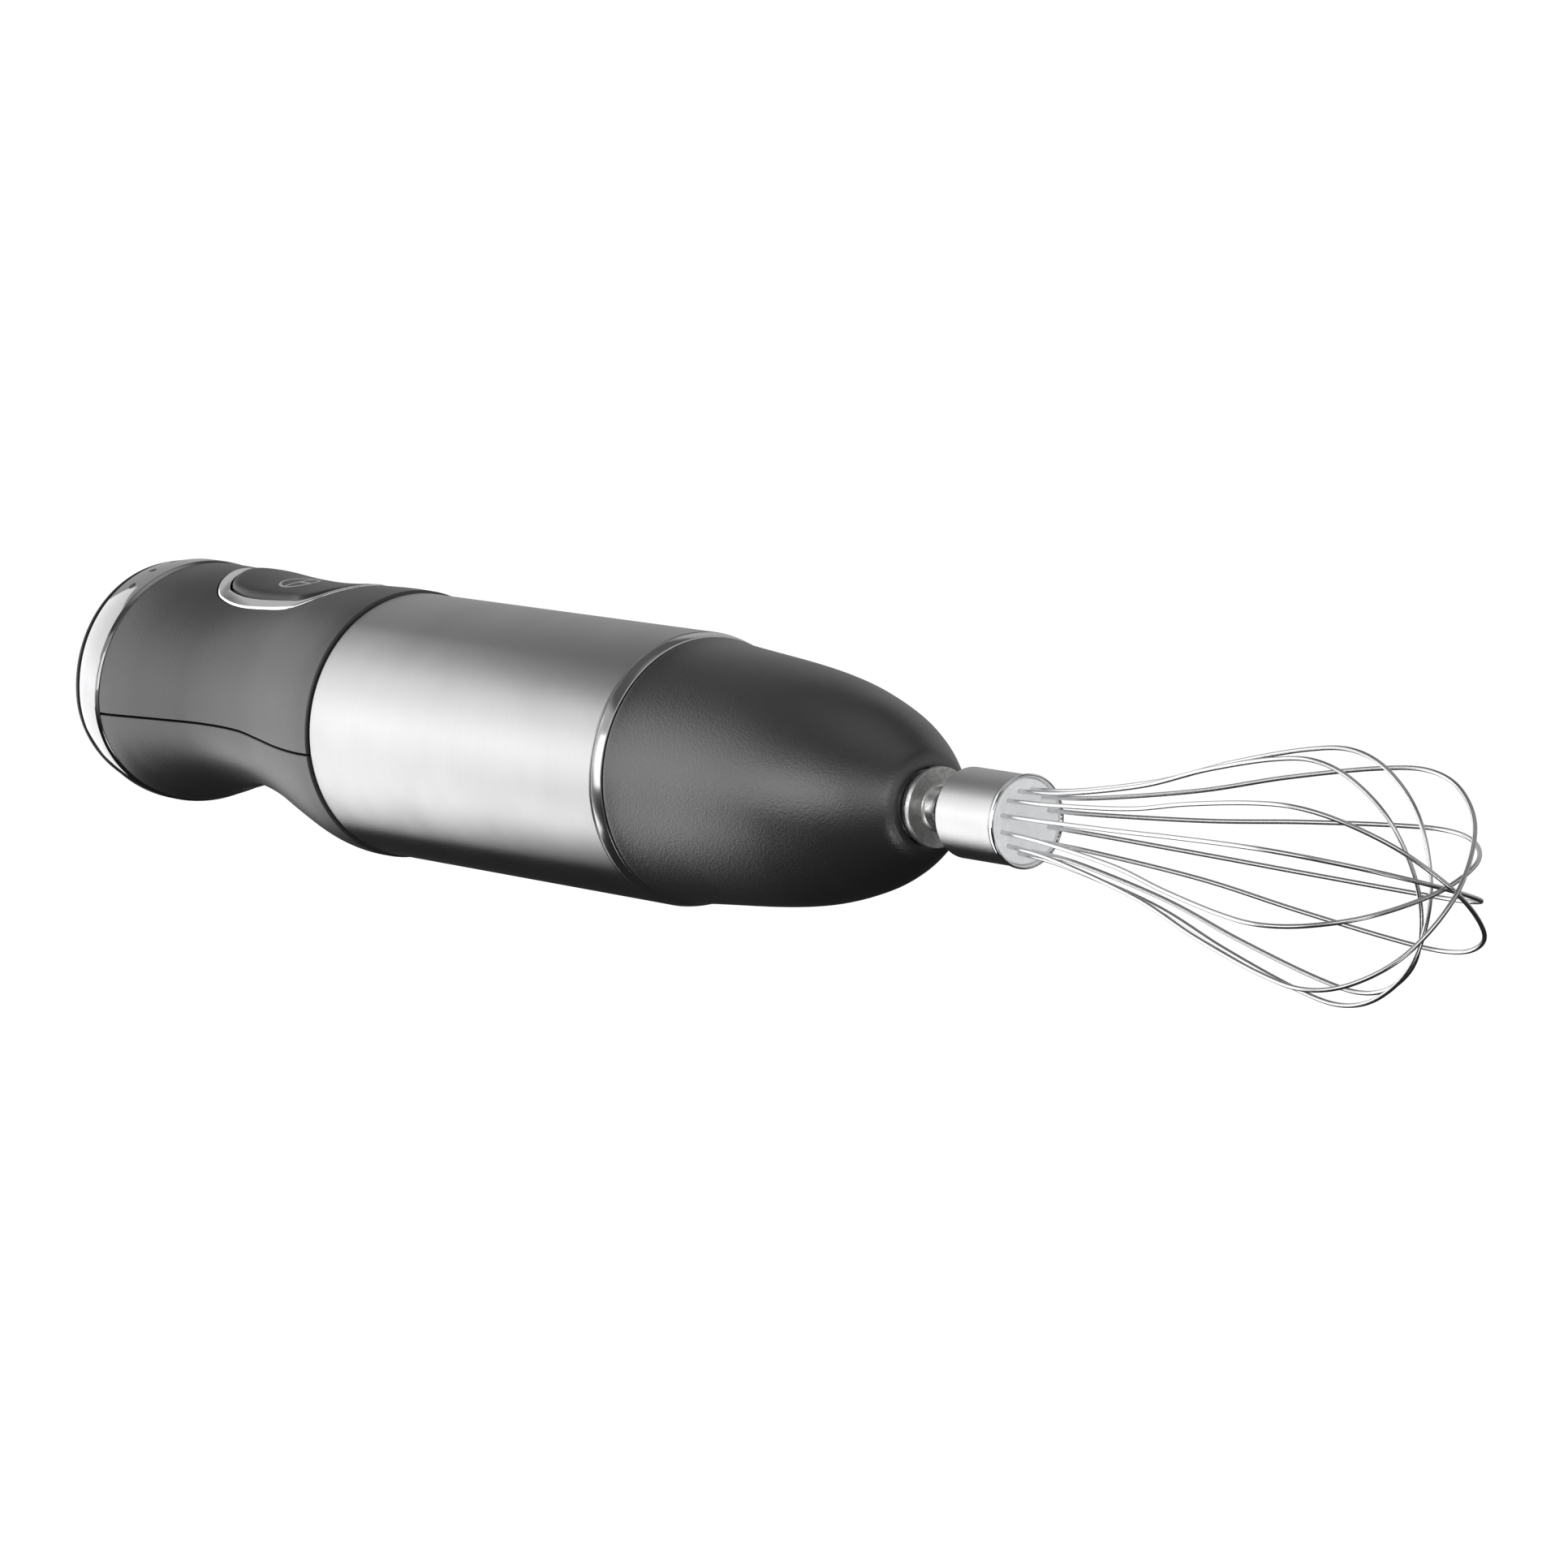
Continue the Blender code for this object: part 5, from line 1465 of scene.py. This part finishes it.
# ---- inside pieces ---------------------------------------------------------------------------
@dataclass
class InsidePieces:
    """Finishes of the frame's own solids that keep their shape."""

    frame: Dict[str, object]
    groups: Tuple[Tuple[Finish, Tuple[str, ...]], ...] = (
        (Finishes.white, ("potentiometer", "switch_bracket")),
        (Finishes.black, ("microswitch", "motor_carrier", "rear_motor_bracket",
                          "front_motor_plate", "cooling_fan", "gearbox_cover")),
        (Finishes.screw, ("button_spring",)),
        (Finishes.board, ("control_board",)),
        (Finishes.brass, ("suppression_capacitor", "rear_bearing", "brush_holder_left",
                          "brush_holder_right", "input_bush")),
        (Finishes.iron, ("stator_core", "armature_core")),
        (Finishes.copper, ("field_coil_upper", "field_coil_lower", "armature_winding_front",
                           "armature_winding_rear", "commutator")),
        (Finishes.carbon, ("carbon_brush_left", "carbon_brush_right")),
        (Finishes.shaft, ("front_bearing", "motor_shaft", "output_bush", "sun_gear",
                          "planet_pin_1", "planet_pin_2", "planet_pin_3", "planet_carrier")),
        (Finishes.nylon, ("drive_coupler", "ring_gear", "planet_gear_1", "planet_gear_2",
                          "planet_gear_3")))

    def dress(self) -> None:
        """Give every solid its finish, and the covered ones theirs too."""
        finishes = {node: finish for finish, nodes in self.groups for node in nodes}
        covered = {"soft_grip": Finishes.grip, "chrome": Finishes.chrome,
                   "brushed_steel": Finishes.sleeve, "steel": Finishes.shaft,
                   "zinc": Finishes.zinc, "rubber": Finishes.rubber,
                   "clear_plastic": Finishes.clear, "button_plastic": Finishes.button}
        slots = {part["node"]: part["material_slot"] for part in self.frame["record"]["subparts"]}
        for name, obj in self.frame["nodes"].items():
            finish = finishes.get(name) or covered.get(slots.get(name), Finishes.black)
            for slot in obj.material_slots:
                slot.material = finish.material()
            LOG.info("%s dressed in %s", name, finish.name)


# ---- studio ----------------------------------------------------------------------------------
@dataclass(frozen=True)
class SoftBox:
    """One rectangular studio light, aimed at a point on the drive axis."""

    name: str
    azimuth: float
    elevation: float
    distance: float
    size: Pair
    radiance: float
    tones: Tuple[Pair, ...] = ((0.0, 1.0), (1.0, 1.0))
    aim: Triple = (0.08, 0.0, 0.0)

    def build(self) -> None:
        """Hang the light, and grade its cloth from its lower edge (0) to its upper edge (1)."""
        light = bpy.data.lights.new(self.name, "AREA")
        light.shape = "RECTANGLE"
        light.size, light.size_y = self.size
        light.energy = self.radiance * math.pi * self.size[0] * self.size[1]
        light.use_nodes = True
        cloth = Tree(light.node_tree)
        emission = next(n for n in light.node_tree.nodes if n.type == "EMISSION")
        split = cloth.add("ShaderNodeSeparateXYZ")
        ramp = cloth.add("ShaderNodeValToRGB")
        grade(ramp.color_ramp, self.tones)
        cloth.link(cloth.add("ShaderNodeNewGeometry").outputs["Parametric"], split.inputs[0])
        cloth.link(split.outputs["Y"], ramp.inputs["Fac"])
        cloth.link(ramp.outputs["Color"], emission.inputs["Color"])
        obj = new_object(self.name, light)
        a, e = math.radians(self.azimuth), math.radians(self.elevation)
        way = Vector((math.cos(e) * math.cos(a), math.cos(e) * math.sin(a), math.sin(e)))
        obj.location = Vector(self.aim) + way * self.distance
        obj.rotation_euler = way.to_track_quat("Z", "Y").to_euler()
        obj.visible_camera = False


def grade(ramp: bpy.types.ColorRamp, tones: Sequence[Pair]) -> None:
    """Set a ramp's grey tones from (position, tone) pairs in rising order."""
    while len(ramp.elements) > 1:
        ramp.elements.remove(ramp.elements[-1])
    ramp.elements[0].position = tones[0][0]
    ramp.elements[0].color = (tones[0][1],) * 3 + (1.0,)
    for at, tone in tones[1:]:
        ramp.elements.new(at).color = (tone, tone, tone, 1.0)


@dataclass
class Studio:
    """Camera, pale floor, surrounding light and soft boxes."""

    camera_place: Triple = (1.3684, -0.9996, 0.2066)
    camera_way: Triple = (-0.76972, 0.62513, -0.12936)
    camera_lens: float = 166.25
    floor_height: float = -340.0
    floor_radius: float = 18000.0
    backdrop: float = 1.05
    boxes: Tuple[SoftBox, ...] = (
        SoftBox("side", -158.0, 0.0, 1.3, (1.5, 1.985), 2.0,
                ((0.0, 0.55), (0.09, 0.82), (0.2, 1.0), (0.35, 1.0), (0.62, 0.82),
                 (0.75, 0.62), (0.9, 0.48), (1.0, 0.40)), (0.08, 0.0, -0.12)),
        SoftBox("left_front", -98.0, 6.0, 1.4, (1.1, 0.9), 1.5),
        SoftBox("camera_side", -40.0, 14.0, 1.7, (1.2, 0.8), 1.3),
        SoftBox("front_low", -15.0, -35.0, 1.2, (0.4, 0.3), 3.0),
    )
    sky: Tuple[Pair, ...] = ((0.0, 0.02), (0.24, 0.02), (0.31, 0.03), (0.36, 0.09), (0.46, 0.26),
                             (0.52, 0.48), (0.80, 0.50), (0.83, 0.10), (0.93, 0.12), (0.97, 0.4),
                             (1.0, 0.5))

    def build_camera(self) -> None:
        """Make the scene's camera."""
        camera = bpy.data.cameras.new("camera")
        camera.lens = self.camera_lens
        camera.sensor_width = 36.0
        camera.clip_start, camera.clip_end = 0.05, 60.0
        obj = new_object("camera", camera)
        obj.location = self.camera_place
        obj.rotation_euler = Vector(self.camera_way).to_track_quat("-Z", "Y").to_euler()
        bpy.context.scene.camera = obj

    def build_floor(self) -> None:
        """A pale floor far enough below that the light on it stays even."""
        floor = Draft().add_caps([Vector((x, y, self.floor_height))
                                  for x, y in circle(self.floor_radius, 96)])
        floor = floor.piece("studio_floor")
        g = Graph("pale_floor")
        clouds = g.noise(g.object_coords, 0.8, 2.0)
        g.tint(clouds, ((0.90, 0.90, 0.90), (0.92, 0.92, 0.92)))
        g.fix(Roughness=0.9, Emission_Color=(1.0, 1.0, 1.0, 1.0), Emission_Strength=0.75)
        floor.data.materials.append(g.material)
        floor.visible_glossy = False
        floor.visible_diffuse = False
        floor.visible_transmission = False
        floor.visible_shadow = False

    def build_world(self) -> None:
        """Light from all round: grey above and behind, dark below, white to the eye."""
        world = bpy.data.worlds.new("studio")
        world.use_nodes = True
        world.node_tree.nodes.clear()
        air = Tree(world.node_tree)
        split = air.add("ShaderNodeSeparateXYZ")
        ramp = air.add("ShaderNodeValToRGB")
        grade(ramp.color_ramp, self.sky)
        shift = air.add("ShaderNodeMapRange")
        shift.inputs["From Min"].default_value = -1.0
        shift.inputs["From Max"].default_value = 1.0
        around = air.add("ShaderNodeBackground")
        seen = air.add("ShaderNodeBackground")
        seen.inputs["Color"].default_value = (1.0, 1.0, 1.0, 1.0)
        seen.inputs["Strength"].default_value = self.backdrop
        mix = air.add("ShaderNodeMixShader")
        air.link(air.add("ShaderNodeTexCoord").outputs["Generated"], split.inputs[0])
        air.link(split.outputs["Z"], shift.inputs["Value"])
        air.link(shift.outputs["Result"], ramp.inputs["Fac"])
        air.link(ramp.outputs["Color"], around.inputs["Color"])
        air.link(air.add("ShaderNodeLightPath").outputs["Is Camera Ray"], mix.inputs["Fac"])
        air.link(around.outputs[0], mix.inputs[1])
        air.link(seen.outputs[0], mix.inputs[2])
        air.link(mix.outputs[0], air.add("ShaderNodeOutputWorld").inputs["Surface"])
        bpy.context.scene.world = world

    def build(self) -> None:
        """Build the whole studio."""
        self.build_camera()
        self.build_floor()
        self.build_world()
        for box in self.boxes:
            box.build()
        bpy.context.scene.view_settings.view_transform = "Standard"
        bpy.context.scene.view_settings.look = "None"


def main() -> None:
    """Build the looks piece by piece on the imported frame."""
    logging.basicConfig(level=logging.INFO, format="%(name)s: %(message)s")
    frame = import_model()
    studio = Studio()
    studio.build()
    InsidePieces(frame).dress()
    repeat, wire = RepeatTool(), WireTool()
    form = GripForm()
    button = PowerButton(form)
    Grip(form).build(button.outline(-0.3), repeat)
    button.build_bezel()
    button.build_button()
    button.build_mark()
    RearEnd(form).build(repeat)
    MotorSleeve().build(repeat)
    GearHead().build()
    OutputCollar().build()
    Whisk().build(wire)


if __name__ == "__main__":
    main()
